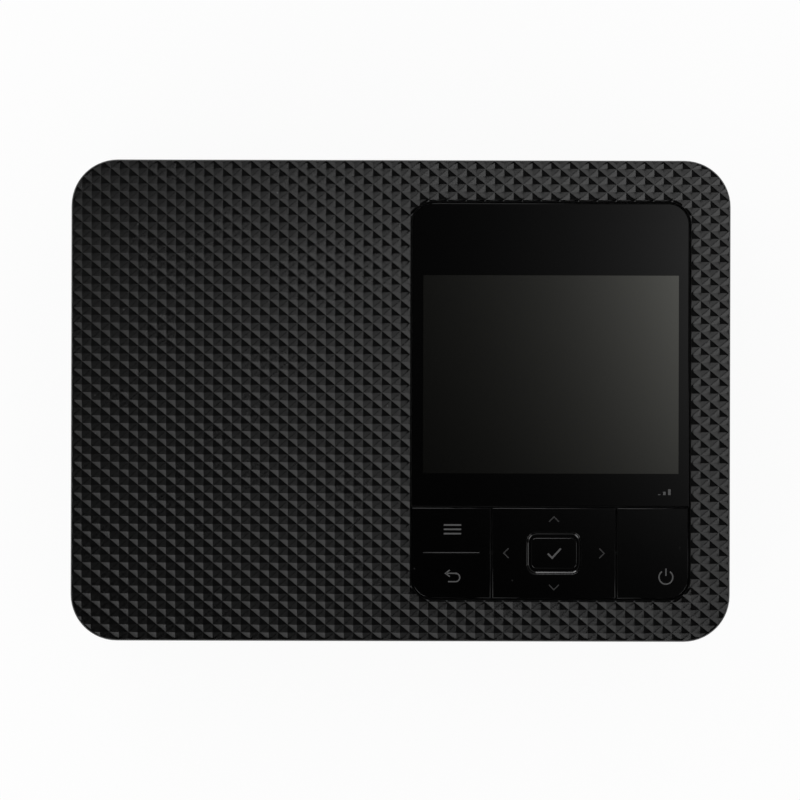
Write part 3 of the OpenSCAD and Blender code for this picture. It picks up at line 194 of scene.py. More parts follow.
def makeBrush():
    # drawn metal: streaks along X as height and roughness
    tree, source, sink = newGroup(
        "brushedStreaks", "ShaderNodeTree",
        (("Roughness", "Float", 0.35), ("Spread", "Float", 0.15)),
        (("Height", "Float"), ("Roughness", "Float")))
    stretch = feed(node(tree, "ShaderNodeMapping"), Vector=objectCoords(tree),
                   Scale=(40.0, 2600.0, 2600.0))
    streak = feed(node(tree, "ShaderNodeTexNoise"), Vector=stretch.outputs["Vector"],
                  Scale=1.0, Detail=2.0).outputs["Fac"]
    feed(sink, Height=streak, Roughness=variedRoughness(tree, streak, source))
    return tree


def makeStripes():
    # even lines across one direction, as a mask
    tree, source, sink = newGroup(
        "evenStripes", "ShaderNodeTree",
        (("Direction", "Vector", (1.0, 0.0, 0.0)), ("Period", "Float", 0.001),
         ("Share", "Float", 0.5)), (("Mask", "Float"),))
    along = node(tree, "ShaderNodeVectorMath", operation="DOT_PRODUCT")
    feed(along, objectCoords(tree), source["Direction"])
    turns = calculate(tree, "DIVIDE", along.outputs["Value"], source["Period"])
    half = times(tree, source["Share"], 0.5)
    edge = calculate(tree, "SUBTRACT", half, calculate(tree, "PINGPONG", turns, 0.5))
    feed(sink, Mask=ramp(tree, edge, -0.04, 0.04))
    return tree


grainGroup = makeGrain()
stripeGroup = makeStripes()
dustGroup = makeDust()
brushGroup = makeBrush()


# Finishes

def newMaterial(name):
    material = bpy.data.materials.new(name)
    material.use_nodes = True
    tree = material.node_tree
    return material, tree, next(n for n in tree.nodes if n.type == "BSDF_PRINCIPLED")


def addGroup(tree, group, **values):
    return feed(node(tree, "ShaderNodeGroup", node_tree=group), **values).outputs


def addBump(tree, shader, height, strength, distance=0.2 * mm):
    bump = feed(node(tree, "ShaderNodeBump"), Strength=strength, Distance=distance, Height=height)
    feed(shader, Normal=bump.outputs["Normal"])


def mouldedPlastic(name, color, roughness=0.5, spread=0.08, grain=1400.0, bump=0.25,
                   dust=0.0, specular=0.5):
    material, tree, shader = newMaterial(name)
    texture = addGroup(tree, grainGroup, Scale=grain, Roughness=roughness, Spread=spread)
    addBump(tree, shader, texture["Height"], bump)
    shade = mixColor(tree, texture["Height"], shaded(color, 0.88), shaded(color, 1.12))
    if dust:
        specks = addGroup(tree, dustGroup, Amount=dust)
        shade = mixColor(tree, specks["Mask"], shade, gray(0.35))
    feed(shader, Base_Color=shade, Roughness=texture["Roughness"], Specular_IOR_Level=specular)
    return material


def stripedPlastic(name, color, lineColor, period, share=0.5, roughness=0.35, lineMetal=0.0):
    # plain material with even lines of another colour across X, a little raised
    material, tree, shader = newMaterial(name)
    texture = addGroup(tree, grainGroup, Scale=1200.0, Roughness=roughness, Spread=0.08)
    lines = addGroup(tree, stripeGroup, Direction=(1.0, 0.0, 0.0), Period=period,
                     Share=share)["Mask"]
    feed(shader, Base_Color=mixColor(tree, lines, color, lineColor),
         Roughness=texture["Roughness"])
    if lineMetal:
        feed(shader, Metallic=times(tree, lines, lineMetal))
    addBump(tree, shader, lines, 0.3, 0.08 * mm)
    return material


def boardFinish(name):
    # green mask over tracks that run one way or the other, with tinned pads
    material, tree, shader = newMaterial(name)
    texture = addGroup(tree, grainGroup, Scale=900.0, Roughness=0.32, Spread=0.06)
    way = calculate(tree, "GREATER_THAN",
                    randomCells(tree, 130.0, distance="CHEBYCHEV")[1], 0.5)
    otherWay = calculate(tree, "SUBTRACT", 1.0, way)
    alongX, alongY = (addGroup(tree, stripeGroup, Direction=direction, Period=0.9 * mm,
                               Share=0.45)["Mask"]
                      for direction in ((0.0, 1.0, 0.0), (1.0, 0.0, 0.0)))
    tracks = calculate(tree, "ADD", times(tree, alongX, way), times(tree, alongY, otherWay))
    distance, number = randomCells(tree, 420.0)
    pads = times(tree, calculate(tree, "LESS_THAN", distance, 0.22),
                 calculate(tree, "LESS_THAN", number, 0.2))
    green = mixColor(tree, tracks, (0.006, 0.07, 0.03, 1), (0.02, 0.15, 0.06, 1))
    feed(shader, Base_Color=mixColor(tree, pads, green, (0.75, 0.7, 0.58, 1)),
         Metallic=pads, Roughness=texture["Roughness"])
    addBump(tree, shader, tracks, 0.35, 0.06 * mm)
    return material


def metal(name, color, roughness=0.35, spread=0.2, bump=0.06):
    material, tree, shader = newMaterial(name)
    streaks = addGroup(tree, brushGroup, Roughness=roughness, Spread=spread)
    feed(shader, Base_Color=mixColor(tree, streaks["Height"], shaded(color, 0.86), color),
         Metallic=1.0, Roughness=streaks["Roughness"])
    addBump(tree, shader, streaks["Height"], bump, 0.05 * mm)
    return material


finish = {
    "relief": mouldedPlastic("reliefBlack", gray(0.0007), roughness=0.28, spread=0.08,
                             grain=2600.0, bump=0.12, dust=0.15),
    "casing": mouldedPlastic("casingBlack", gray(0.014), roughness=0.46, grain=2200.0,
                             bump=0.22, dust=0.1),
    "inner": mouldedPlastic("innerBlack", gray(0.02), roughness=0.55),
    "rubber": mouldedPlastic("softRubber", gray(0.022), roughness=0.8, grain=900.0, bump=0.4),
    "keys": mouldedPlastic("glossKeys", gray(0.0004), roughness=0.1, spread=0.03,
                           grain=500.0, bump=0.01, dust=0.04),
    "keyEdge": mouldedPlastic("keyEdges", gray(0.0004), roughness=0.1, spread=0.03,
                              grain=500.0, bump=0.01, specular=1.0),
    "trim": metal("darkTrim", gray(0.13), roughness=0.12, spread=0.04, bump=0.01),
    "cream": mouldedPlastic("naturalPlastic", (0.72, 0.7, 0.62, 1), roughness=0.45),
    "board": boardFinish("solderMask"),
    "amber": stripedPlastic("amberFilm", (0.4, 0.16, 0.02, 1), (0.62, 0.34, 0.1, 1),
                            0.8 * mm, 0.55, 0.28),
    "endCap": metal("tinnedEnd", gray(0.7), roughness=0.25),
    "roller": stripedPlastic("groovedRubber", gray(0.02), gray(0.028), 1.2 * mm, 0.7, 0.75),
    "capstan": stripedPlastic("knurledSteel", gray(0.45), gray(0.6), 0.6 * mm, lineMetal=1.0),
    "motorEnd": metal("motorEndCap", gray(0.35), roughness=0.4),
    "heater": mouldedPlastic("heaterGlaze", (0.09, 0.055, 0.03, 1), roughness=0.12),
    "switch": mouldedPlastic("switchBlack", gray(0.03), roughness=0.4),
    "blue": mouldedPlastic("leverBlue", (0.05, 0.13, 0.36, 1), roughness=0.42),
    "ceramic": mouldedPlastic("glazedCeramic", (0.62, 0.58, 0.45, 1), roughness=0.2),
    "ribbon": mouldedPlastic("dyeFilm", (0.03, 0.012, 0.035, 1), roughness=0.22,
                             grain=300.0, bump=0.05),
    "core": mouldedPlastic("spoolCore", (0.55, 0.55, 0.5, 1), roughness=0.4),
    "glass": mouldedPlastic("displayGlass", (0.03, 0.032, 0.03, 1), roughness=0.12,
                            spread=0.03, grain=200.0, bump=0.02),
    "steel": metal("platedSteel", gray(0.62), roughness=0.32),
    "aluminium": metal("pressedAluminium", gray(0.78), roughness=0.38),
    "motor": metal("motorCan", gray(0.5), roughness=0.28),
    "bronze": metal("sinteredBronze", (0.6, 0.4, 0.17, 1), roughness=0.42),
}
print("finishes made:", len(finish))


# Objects and meshes

def newObject(name, data):
    made = bpy.data.objects.new(name, data)
    scene.collection.objects.link(made)
    return made


def removeObject(target):
    mesh = target.data
    bpy.data.objects.remove(target)
    bpy.data.meshes.remove(mesh)


def openShape(target):
    shape = bmesh.new()
    shape.from_mesh(target.data)
    return shape


def closeShape(shape, target):
    shape.to_mesh(target.data)
    shape.free()


def applyModifiers(target):
    graph = bpy.context.evaluated_depsgraph_get()
    graph.update()
    baked = bpy.data.meshes.new_from_object(target.evaluated_get(graph))
    old = target.data
    target.modifiers.clear()
    target.data = baked
    bpy.data.meshes.remove(old)


def runTree(tree, name, values, points=()):
    # the tree's inputs take the values of the same name
    made = newObject(name, bpy.data.meshes.new(name))
    made.data.from_pydata(points, [], [])
    modifier = made.modifiers.new("nodes", "NODES")
    modifier.node_group = tree
    for item in tree.interface.items_tree:
        if item.in_out == "INPUT" and item.name in values:
            modifier[item.identifier] = values[item.name]
    applyModifiers(made)
    return made


def boolean(target, cutter, operation):
    cut = target.modifiers.new("cut", "BOOLEAN")
    cut.operation = operation
    cut.solver = "MANIFOLD"
    cut.object = cutter
    applyModifiers(target)


def bevelEdges(target, width, segments=2):
    bevel = target.modifiers.new("edges", "BEVEL")
    bevel.width = width
    bevel.segments = segments
    bevel.limit_method = "ANGLE"
    bevel.angle_limit = math.radians(40)
    applyModifiers(target)


def roundEdges(shape, chosen, width, segments, least):
    # rounds the outward edges whose ends pass the test and that turn by at least so many radians
    picked = [edge for edge in shape.edges if all(chosen(vert) for vert in edge.verts)
              and len(edge.link_faces) == 2 and edge.is_convex
              and edge.calc_face_angle(0.0) > least]
    bmesh.ops.bevel(shape, geom=picked, offset=width, segments=segments, profile=0.5,
                    affect="EDGES", clamp_overlap=True)


def smoothEdges(target, limitOf):
    # an edge looks round where it turns by less than its limit in degrees
    shape = openShape(target)
    for face in shape.faces:
        face.smooth = True
    for edge in shape.edges:
        edge.smooth = (len(edge.link_faces) == 2
                       and edge.calc_face_angle(0.0) < math.radians(limitOf(edge)))
    closeShape(shape, target)


def smoothByAngle(target, degrees=32):
    smoothEdges(target, lambda edge: degrees)


def weighNormals(target):
    # flat faces stay flat in the light, and only the narrow edges turn
    weighted = target.modifiers.new("normals", "WEIGHTED_NORMAL")
    weighted.keep_sharp = True
    weighted.weight = 90
    applyModifiers(target)


def roundedOutline(x0, x1, y0, y1, radius):
    steps = 12      # in each corner
    points = []
    for cx, cy, start in ((x1 - radius, y1 - radius, 0), (x0 + radius, y1 - radius, 90),
                          (x0 + radius, y0 + radius, 180), (x1 - radius, y0 + radius, 270)):
        for k in range(steps + 1):
            angle = math.radians(start + 90 * k / steps)
            points.append((cx + radius * math.cos(angle), cy + radius * math.sin(angle)))
    return points


def addPrism(shape, outline, z0, z1):
    low = [shape.verts.new((x, y, z0)) for x, y in outline]
    high = [shape.verts.new((x, y, z1)) for x, y in outline]
    for k in range(len(outline)):
        after = (k + 1) % len(outline)
        shape.faces.new((low[k], low[after], high[after], high[k]))
    shape.faces.new(high)
    shape.faces.new(low[::-1])


def shapeObject(name, shape):
    mesh = bpy.data.meshes.new(name)
    shape.to_mesh(mesh)
    shape.free()
    return newObject(name, mesh)


def prism(name, outline, z0, z1):
    shape = bmesh.new()
    addPrism(shape, outline, z0, z1)
    return shapeObject(name, shape)


# What every piece that stands for a node of the part goes through

def mergedCopy(nodeName):
    # the node's own triangles, welded, with those that lie in one plane joined
    words = nodeName.split("_")
    name = words[0] + "".join(word.capitalize() for word in words[1:]) + "Piece"
    made = newObject(name, nodes[nodeName].data.copy())
    shape = openShape(made)
    bmesh.ops.remove_doubles(shape, verts=shape.verts, dist=weld)
    bmesh.ops.dissolve_limit(shape, angle_limit=math.radians(0.05), verts=shape.verts,
                             edges=shape.edges, delimit=set())
    closeShape(shape, made)
    made.data.materials.clear()
    return made


def dress(target, material):
    target.data.materials.clear()
    target.data.materials.append(material)
    for face in target.data.polygons:
        face.material_index = 0


def finishPiece(piece, nodeName, material):
    dress(piece, material)
    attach(piece, bodyOf[nodeName])
    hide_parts(nodeName)


def paintFaces(piece, material, chosen):
    # a second finish on the faces whose middle (in millimetres) and normal pass the test
    piece.data.materials.append(material)
    index = len(piece.data.materials) - 1
    for face in piece.data.polygons:
        if chosen(face.center / mm, face.normal):
            face.material_index = index


# Top cover with its diamond relief

relief = {
    "pitchX": 2.590 * mm,       # half the width of one diamond
    "pitchY": 2.137 * mm,       # half its depth from front to back
    "depth": 0.85 * mm,
    "shoulderHeight": 0.6,      # where the flanks bend, as a share of the depth
    "shoulderWidth": 0.5,       # and of the width
    "count": 75,                # diamonds along each slanted row
    "weld": 0.02 * mm,
    "tool": 4 * mm,             # height of the shape that carves the cover
    "below": 2 * mm,            # how far the carved region reaches down from the top
    "above": 3 * mm,
    "rim": 0.4 * mm,            # plain rim inside the cover's edge
    "panelRim": 0.15 * mm,      # plain rim round the panel's cut-out
    "corner": 12.8 * mm,
    "panelCorner": 6.2 * mm,
    "panelBox": (2.75 * mm, 80.05 * mm, -55 * mm, 55 * mm),     # left, right, front, back
    "flank": (0.7, 0.985),      # how far up the normals of the flanks point
    "ridge": 16,                # degrees under which a ridge between flanks looks round
    "valley": 15,               # and any other edge
}


def dressed(tree, geometry, material, selection=True):
    return feed(node(tree, "GeometryNodeSetMaterial"), Geometry=geometry, Material=material,
                Selection=selection).outputs[0]


def welded(tree, geometry):
    return feed(node(tree, "GeometryNodeMergeByDistance"), Geometry=geometry,
                Distance=relief["weld"]).outputs[0]


def reliefTree():
    tree, source, sink = newGroup(
        "diamondRelief", "GeometryNodeTree",
        (("pitchX", "Float"), ("pitchY", "Float"), ("depth", "Float"), ("top", "Float"),
         ("shoulderHeight", "Float"), ("shoulderWidth", "Float"), ("count", "Int"),
         ("material", "Material")))
    # a square grid whose cells become slanted diamonds
    corners = calculate(tree, "ADD", source["count"], 1.0)
    grid = feed(node(tree, "GeometryNodeMeshGrid"), Size_X=source["count"],
                Size_Y=source["count"], Vertices_X=corners, Vertices_Y=corners)
    spot = axesOf(tree, node(tree, "GeometryNodeInputPosition").outputs[0])
    along = calculate(tree, "ADD", spot["X"], spot["Y"])
    across = calculate(tree, "SUBTRACT", spot["Y"], spot["X"])
    place = vectorOf(tree, times(tree, along, source["pitchX"]),
                     times(tree, across, source["pitchY"]),
                     calculate(tree, "SUBTRACT", source["top"], source["depth"]))
    mesh = feed(node(tree, "GeometryNodeSetPosition"), Geometry=grid.outputs["Mesh"],
                Position=place).outputs[0]
    # each cell is drawn up to a shoulder, and then to a point
    upward = vectorOf(tree, z=source["depth"])
    rest = calculate(tree, "SUBTRACT", 1.0, source["shoulderHeight"])
    chosen = True
    for rise, width in ((source["shoulderHeight"], source["shoulderWidth"]), (rest, 0.0)):
        raised = node(tree, "GeometryNodeExtrudeMesh", mode="FACES")
        feed(raised, Mesh=mesh, Selection=chosen, Offset=upward, Offset_Scale=rise,
             Individual=True)
        chosen = raised.outputs["Top"]
        narrowed = node(tree, "GeometryNodeScaleElements", domain="FACE")
        mesh = feed(narrowed, Geometry=raised.outputs["Mesh"], Selection=chosen,
                    Scale=width).outputs[0]
    sheet = welded(tree, mesh)
    # the sheet and a raised copy of it close into the tool that carves the cover
    lifted = node(tree, "GeometryNodeExtrudeMesh", mode="FACES")
    feed(lifted, Mesh=sheet, Offset=vectorOf(tree, z=relief["tool"]), Offset_Scale=1.0,
         Individual=False)
    under = feed(node(tree, "GeometryNodeFlipFaces"), Mesh=sheet)
    both = node(tree, "GeometryNodeJoinGeometry")
    for part in (under.outputs[0], lifted.outputs["Mesh"]):
        feed(both, Geometry=part)
    feed(sink, Geometry=dressed(tree, welded(tree, both.outputs[0]), source["material"]))
    return tree


def reliefLimit(edge):
    # the ridges between the flanks look round, and the valleys stay sharp
    least, most = relief["flank"]
    flanks = all(least < face.normal.z < most for face in edge.link_faces)
    return relief["ridge"] if flanks and edge.is_convex else relief["valley"]


def makeTopCover():
    low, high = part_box("top_cover")
    cover = mergedCopy("top_cover")
    carver = runTree(reliefTree(), "reliefCarver",
                     {**relief, "top": high.z, "material": finish["relief"]})
    rim, bottom, top = relief["rim"], high.z - relief["below"], high.z + relief["above"]
    region = prism("reliefRegion",
                   roundedOutline(low.x + rim, high.x - rim, low.y + rim, high.y - rim,
                                  relief["corner"] - rim), bottom, top)
    grow = relief["panelRim"]
    x0, x1, y0, y1 = relief["panelBox"]
    hole = prism("reliefHole",
                 roundedOutline(x0 - grow, x1 + grow, y0 - grow, y1 + grow,
                                relief["panelCorner"] + grow), bottom - 1 * mm, top + 1 * mm)
    boolean(region, hole, "DIFFERENCE")
    boolean(carver, region, "INTERSECT")
    boolean(cover, carver, "DIFFERENCE")
    for tool in (carver, region, hole):
        removeObject(tool)
    smoothEdges(cover, reliefLimit)
    weighNormals(cover)
    finishPiece(cover, "top_cover", finish["relief"])
    print("top cover carved:", len(cover.data.polygons), "faces")


makeTopCover()


# Every other piece, from its own node

casingEdge = {"least": 0.8, "side_casing": 0.18 * mm, "base_cover": 0.3 * mm}


def finishEdges(piece, nodeName, material):
    smoothByAngle(piece)
    weighNormals(piece)
    finishPiece(piece, nodeName, material)


def outerPiece(nodeName):
    # a casing part: only the edges on the outside of the body are broken
    piece = mergedCopy(nodeName)
    low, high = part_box(nodeName)

    def outside(vert):
        return min(abs(vert.co.x - low.x), abs(vert.co.x - high.x), abs(vert.co.y - low.y),
                   abs(vert.co.y - high.y), abs(vert.co.z - low.z)) < slack

    shape = openShape(piece)
    roundEdges(shape, outside, casingEdge[nodeName], 2, casingEdge["least"])
    closeShape(shape, piece)
    finishEdges(piece, nodeName, finish["casing"])
    print("casing made:", nodeName)


def plainPiece(nodeName, material, edge):
    piece = mergedCopy(nodeName)
    if edge:
        bevelEdges(piece, edge)
    finishEdges(piece, nodeName, material)
    return piece


outerPiece("side_casing")
outerPiece("base_cover")

edgeWidths = {      # of the nodes of each finish, in millimetres
    "casing": {"front_door": 0.25, "ribbon_door": 0.25},
    "steel": {"case_screws": 0.12, "small_screws": 0.08, "tact_switches": 0.06,
        "chassis_base": 0.0, "left_side_plate": 0.0, "right_side_plate": 0.0,
        "pickup_shaft": 0.3, "platen_shaft": 0.3, "idler_axle": 0.1, "motor_bracket": 0.0,
        "head_pivot_shaft": 0.2, "card_socket": 0.12, "usb_c_socket": 0.12},
    "inner": {"panel_frame": 0.0, "paper_bay_liner": 0.2, "rear_paper_guide": 0.2,
        "pinch_holders": 0.2, "cassette_shell": 0.15},
    "glass": {"display_module": 0.15},
    "cream": {"dpad_cradle": 0.1, "pickup_gear": 0.0, "capstan_gear": 0.0, "idler_gear": 0.0,
        "takeup_spindle": 0.3, "takeup_gear": 0.0, "supply_spindle": 0.3},
    "board": {"panel_circuit_board": 0.0, "main_circuit_board": 0.0},
    "amber": {"panel_flex_cable": 0.0},
    "bronze": {"shaft_bushings": 0.12, "feed_motor_pinion": 0.0, "ribbon_motor_pinion": 0.0},
    "roller": {"pickup_rollers": 0.4},
    "capstan": {"capstan_roller": 0.2},
    "rubber": {"pinch_roller": 0.2, "platen_sleeve": 0.4},
    "motor": {"feed_motor": 0.5, "ribbon_motor": 0.5},
    "aluminium": {"head_bracket": 0.0, "head_heatsink": 0.12},
    "ceramic": {"print_head": 0.08},
    "core": {"supply_spool": 0.2, "takeup_spool": 0.2},
    "ribbon": {"ribbon_film": 0.0},
    "blue": {"eject_lever": 0.25},
    "switch": {"board_chips": 0.12, "power_inlet": 0.2},
}
plainPieces = {name: plainPiece(name, finish[finishName], width * mm)
               for finishName, widths in edgeWidths.items() for name, width in widths.items()}
painted = {"print_head": ("heater", 2, 0.65), "feed_motor": ("motorEnd", 0, 0.1),
           "ribbon_motor": ("motorEnd", 0, 0.1)}    # finish, axis and depth from its low end
for nodeName, (finishName, axis, depth) in painted.items():
    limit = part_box(nodeName)[0][axis] / mm + depth
    paintFaces(plainPieces[nodeName], finish[finishName],
               lambda spot, normal: spot[axis] < limit)
print("plain pieces made:", len(plainPieces))


# Feet, with a ring groove in each sole

footShape = {"edge": 0.5 * mm, "rim": 1.1 * mm, "groove": 0.7 * mm, "deep": 0.35 * mm}


def makeFeet():
    piece = mergedCopy("rubber_feet")
    bevelEdges(piece, footShape["edge"], 3)
    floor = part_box("rubber_feet")[0].z
    shape = openShape(piece)
    soles = [face for face in shape.faces if face.normal.z < -0.99
             and abs(face.calc_center_median().z - floor) < near]
    bmesh.ops.inset_individual(shape, faces=soles, thickness=footShape["rim"])
    bmesh.ops.inset_individual(shape, faces=soles, thickness=footShape["groove"])
    # the loop between the last two insets sinks
    sunk = {vert for face in soles for vert in face.verts}
    bmesh.ops.inset_individual(shape, faces=soles, thickness=footShape["groove"])
    for vert in sunk:
        vert.co.z = floor + footShape["deep"]
    closeShape(shape, piece)
    smoothByAngle(piece, 40)
    finishPiece(piece, "rubber_feet", finish["rubber"])


makeFeet()


# Small parts on the main board, set out by a node tree

boardParts = {
    "length": 1.6 * mm, "width": 0.8 * mm, "height": 0.5 * mm,
    "tinned": 0.31,             # the tinned ends start this far out, as a share of the length
    "gap": 0.01 * mm,           # under each part
    "pitch": 2.6 * mm, "share": 0.3, "seed": 7,
    "border": 3 * mm,           # kept free along the board's edges
    "margin": 1.6 * mm,         # and round what stands on the board
    "widest": 80 * mm,          # what is wider keeps nothing free
    "beside": (-0.4 * mm, 1 * mm),      # heights, from a part's middle, at which things stand
    "keepOff": ("board_chips", "small_screws", "card_socket", "usb_c_socket", "power_inlet",
                "case_screws", "base_cover", "chassis_base", "panel_flex_cable",
                "right_side_plate"),
}


def boardPartsTree():
    tree, source, sink = newGroup(
        "boardParts", "GeometryNodeTree",
        (("points", "Geometry"), ("length", "Float"), ("width", "Float"), ("height", "Float"),
         ("tinned", "Float"), ("seed", "Int"), ("body", "Material"), ("ends", "Material")))
    size = vectorOf(tree, source["length"], source["width"], source["height"])
    part = feed(node(tree, "GeometryNodeMeshCube"), Size=size, Vertices_X=6)
    spot = axesOf(tree, node(tree, "GeometryNodeInputPosition").outputs[0])
    outer = calculate(tree, "GREATER_THAN", calculate(tree, "ABSOLUTE", spot["X"]),
                      times(tree, source["length"], source["tinned"]))
    marked = node(tree, "GeometryNodeStoreNamedAttribute", data_type="BOOLEAN", domain="FACE")
    feed(marked, Geometry=part.outputs["Mesh"], Name="tinned", Value=outer)
    # each lies along the board or across it
    turn = node(tree, "FunctionNodeRandomValue", data_type="INT")
    least, most = [socket for socket in turn.inputs if socket.enabled][:2]
    least.default_value, most.default_value = 0, 1
    feed(turn, Seed=source["seed"])
    angle = times(tree, inUse(turn.outputs), math.radians(90))
    copies = feed(node(tree, "GeometryNodeInstanceOnPoints"), Points=source["points"],
                  Instance=marked.outputs[0], Rotation=vectorOf(tree, z=angle))
    real = feed(node(tree, "GeometryNodeRealizeInstances"), copies.outputs["Instances"])
    bodies = dressed(tree, real.outputs[0], source["body"])
    named = node(tree, "GeometryNodeInputNamedAttribute", data_type="BOOLEAN")
    feed(named, Name="tinned")
    feed(sink, Geometry=dressed(tree, bodies, source["ends"], inUse(named.outputs)))
    return tree


def islandBoxes(nodeName):
    # the box of each separate solid of a node
    shape = openShape(nodes[nodeName])
    bmesh.ops.remove_doubles(shape, verts=shape.verts, dist=weld)
    left, boxes = set(shape.verts), []
    while left:
        island, queue = set(), [left.pop()]
        while queue:
            vert = queue.pop()
            island.add(vert)
            beside = {edge.other_vert(vert) for edge in vert.link_edges} & left
            left -= beside
            queue.extend(beside)
        boxes.append([(min(v.co[k] for v in island), max(v.co[k] for v in island))
                      for k in range(3)])
    shape.free()
    return boxes


def places(low, high, pitch):
    place = low
    while place < high:
        yield place
        place += pitch


def makeBoardParts():
    low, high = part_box("main_circuit_board")
    level = high.z + boardParts["height"] / 2 + boardParts["gap"]
    margin, border, pitch = (boardParts[name] for name in ("margin", "border", "pitch"))
    below, above = boardParts["beside"]
    taken = [box for name in boardParts["keepOff"] for box in islandBoxes(name)
             if box[2][0] < level + above and box[2][1] > level + below
             and box[0][1] - box[0][0] < boardParts["widest"]]
    choose = random.Random(boardParts["seed"])
    spots = []
    for y in places(low.y + border, high.y - border, pitch):
        for x in places(low.x + border, high.x - border, pitch):
            clear = not any(box[0][0] - margin < x < box[0][1] + margin
                            and box[1][0] - margin < y < box[1][1] + margin for box in taken)
            if choose.random() < boardParts["share"] and clear:
                spots.append((x, y, level))
    piece = runTree(boardPartsTree(), "boardPartsPiece",
                    {**boardParts, "body": finish["switch"], "ends": finish["endCap"]}, spots)
    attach(piece, "printer")
    print("board parts:", len(spots))


makeBoardParts()


# Torsion springs of the print head, wound by a node tree

springShape = {
    "coilRadius": 1.97 * mm,
    "wireRadius": 0.4 * mm,
    "turns": 2.5,
    "length": 3.0 * mm,         # of each spring, along its axis
    "sides": 10,                # round the wire
    "stepsPerTurn": 26,
}


def springTree():
    tree, source, sink = newGroup(
        "woundSprings", "GeometryNodeTree",
        (("coilRadius", "Float"), ("wireRadius", "Float"), ("pathLength", "Float"),
         ("turns", "Float"), ("spread", "Float"), ("material", "Material")))
    coil = feed(node(tree, "GeometryNodeCurveSpiral"), Resolution=springShape["stepsPerTurn"],
                Rotations=source["turns"], Start_Radius=source["coilRadius"],
                End_Radius=source["coilRadius"], Height=source["pathLength"])
    ring = feed(node(tree, "GeometryNodeCurvePrimitiveCircle"),
                Resolution=springShape["sides"], Radius=source["wireRadius"])
    wire = feed(node(tree, "GeometryNodeCurveToMesh"), Curve=coil.outputs["Curve"],
                Profile_Curve=ring.outputs["Curve"], Fill_Caps=True)
    # two of them, their axis along X
    spots = feed(node(tree, "GeometryNodeMeshLine"), Count=2,
                 Offset=vectorOf(tree, source["spread"]))
    copies = feed(node(tree, "GeometryNodeInstanceOnPoints"), Points=spots.outputs["Mesh"],
                  Instance=wire.outputs["Mesh"], Rotation=(0.0, math.radians(90), 0.0))
    real = feed(node(tree, "GeometryNodeRealizeInstances"), copies.outputs["Instances"])
    feed(sink, Geometry=dressed(tree, real.outputs[0], source["material"]))
    return tree


def makeSprings():
    low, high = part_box("head_springs")
    wire, length = springShape["wireRadius"], springShape["length"]
    # the two springs are alike, so they lie apart by the box less one of them
    piece = runTree(springTree(), "headSpringsPiece", {
        **springShape, "pathLength": length - 2 * wire, "spread": high.x - low.x - length,
        "material": finish["steel"]})
    middle = Vector((low.x + wire, (low.y + high.y) / 2, (low.z + high.z) / 2))
    for vert in piece.data.vertices:
        vert.co += middle
    smoothByAngle(piece, 50)
    finishPiece(piece, "head_springs", finish["steel"])


makeSprings()
print("springs made")


# Keys

keyShape = {
    "top": 57.3 * mm,
    "edge": 0.26 * mm,
    "ribEdge": 0.16 * mm,       # of the low rib across the menu key
    "least": 0.9,               # radians by which an edge turns before it is rounded
    "shinyDepth": 0.3,          # of the shiny edges below the top, in millimetres
    "shinySlope": (0.1, 0.99),  # and how far up their normals point
}


def roundTop(shape, top, width):
    roundEdges(shape, lambda vert: abs(vert.co.z - top) < near, width, 3, keyShape["least"])


def onEdge(spot, normal):
    least, most = keyShape["shinySlope"]
    return spot.z > keyShape["top"] / mm - keyShape["shinyDepth"] and least < normal.z < most


def finishKey(piece, nodeName):
    finishEdges(piece, nodeName, finish["keys"])
    paintFaces(piece, finish["keyEdge"], onEdge)


def makeKey(nodeName):
    piece = mergedCopy(nodeName)
    shape = openShape(piece)
    if nodeName == "menu_back_key":
        roundTop(shape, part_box(nodeName)[1].z, keyShape["ribEdge"])
    roundTop(shape, keyShape["top"], keyShape["edge"])
    closeShape(shape, piece)
    finishKey(piece, nodeName)


for nodeName in ("menu_back_key", "ok_key", "power_key"):
    makeKey(nodeName)


# Direction pad, with a rounded recess and a shiny rim round the centre key

pad = {
    "core": (4.95 * mm, 2.85 * mm),     # straight part of the recess, each way from its middle
    "round": 2.6 * mm,                  # its corner radius in the node
    "ringHalf": (7.5 * mm, 5.8 * mm),   # outer half size of the shiny rim
    "floor": 0.8 * mm,
    "profile": ((0.0, 0.0), (0.24, 0.07), (0.46, 0.19), (0.68, 0.37)),     # inward, down, in mm
    "inner": 0.8 * mm,
    "slope": (0.35, 0.99),              # how far up the normals of the shiny rim point
}


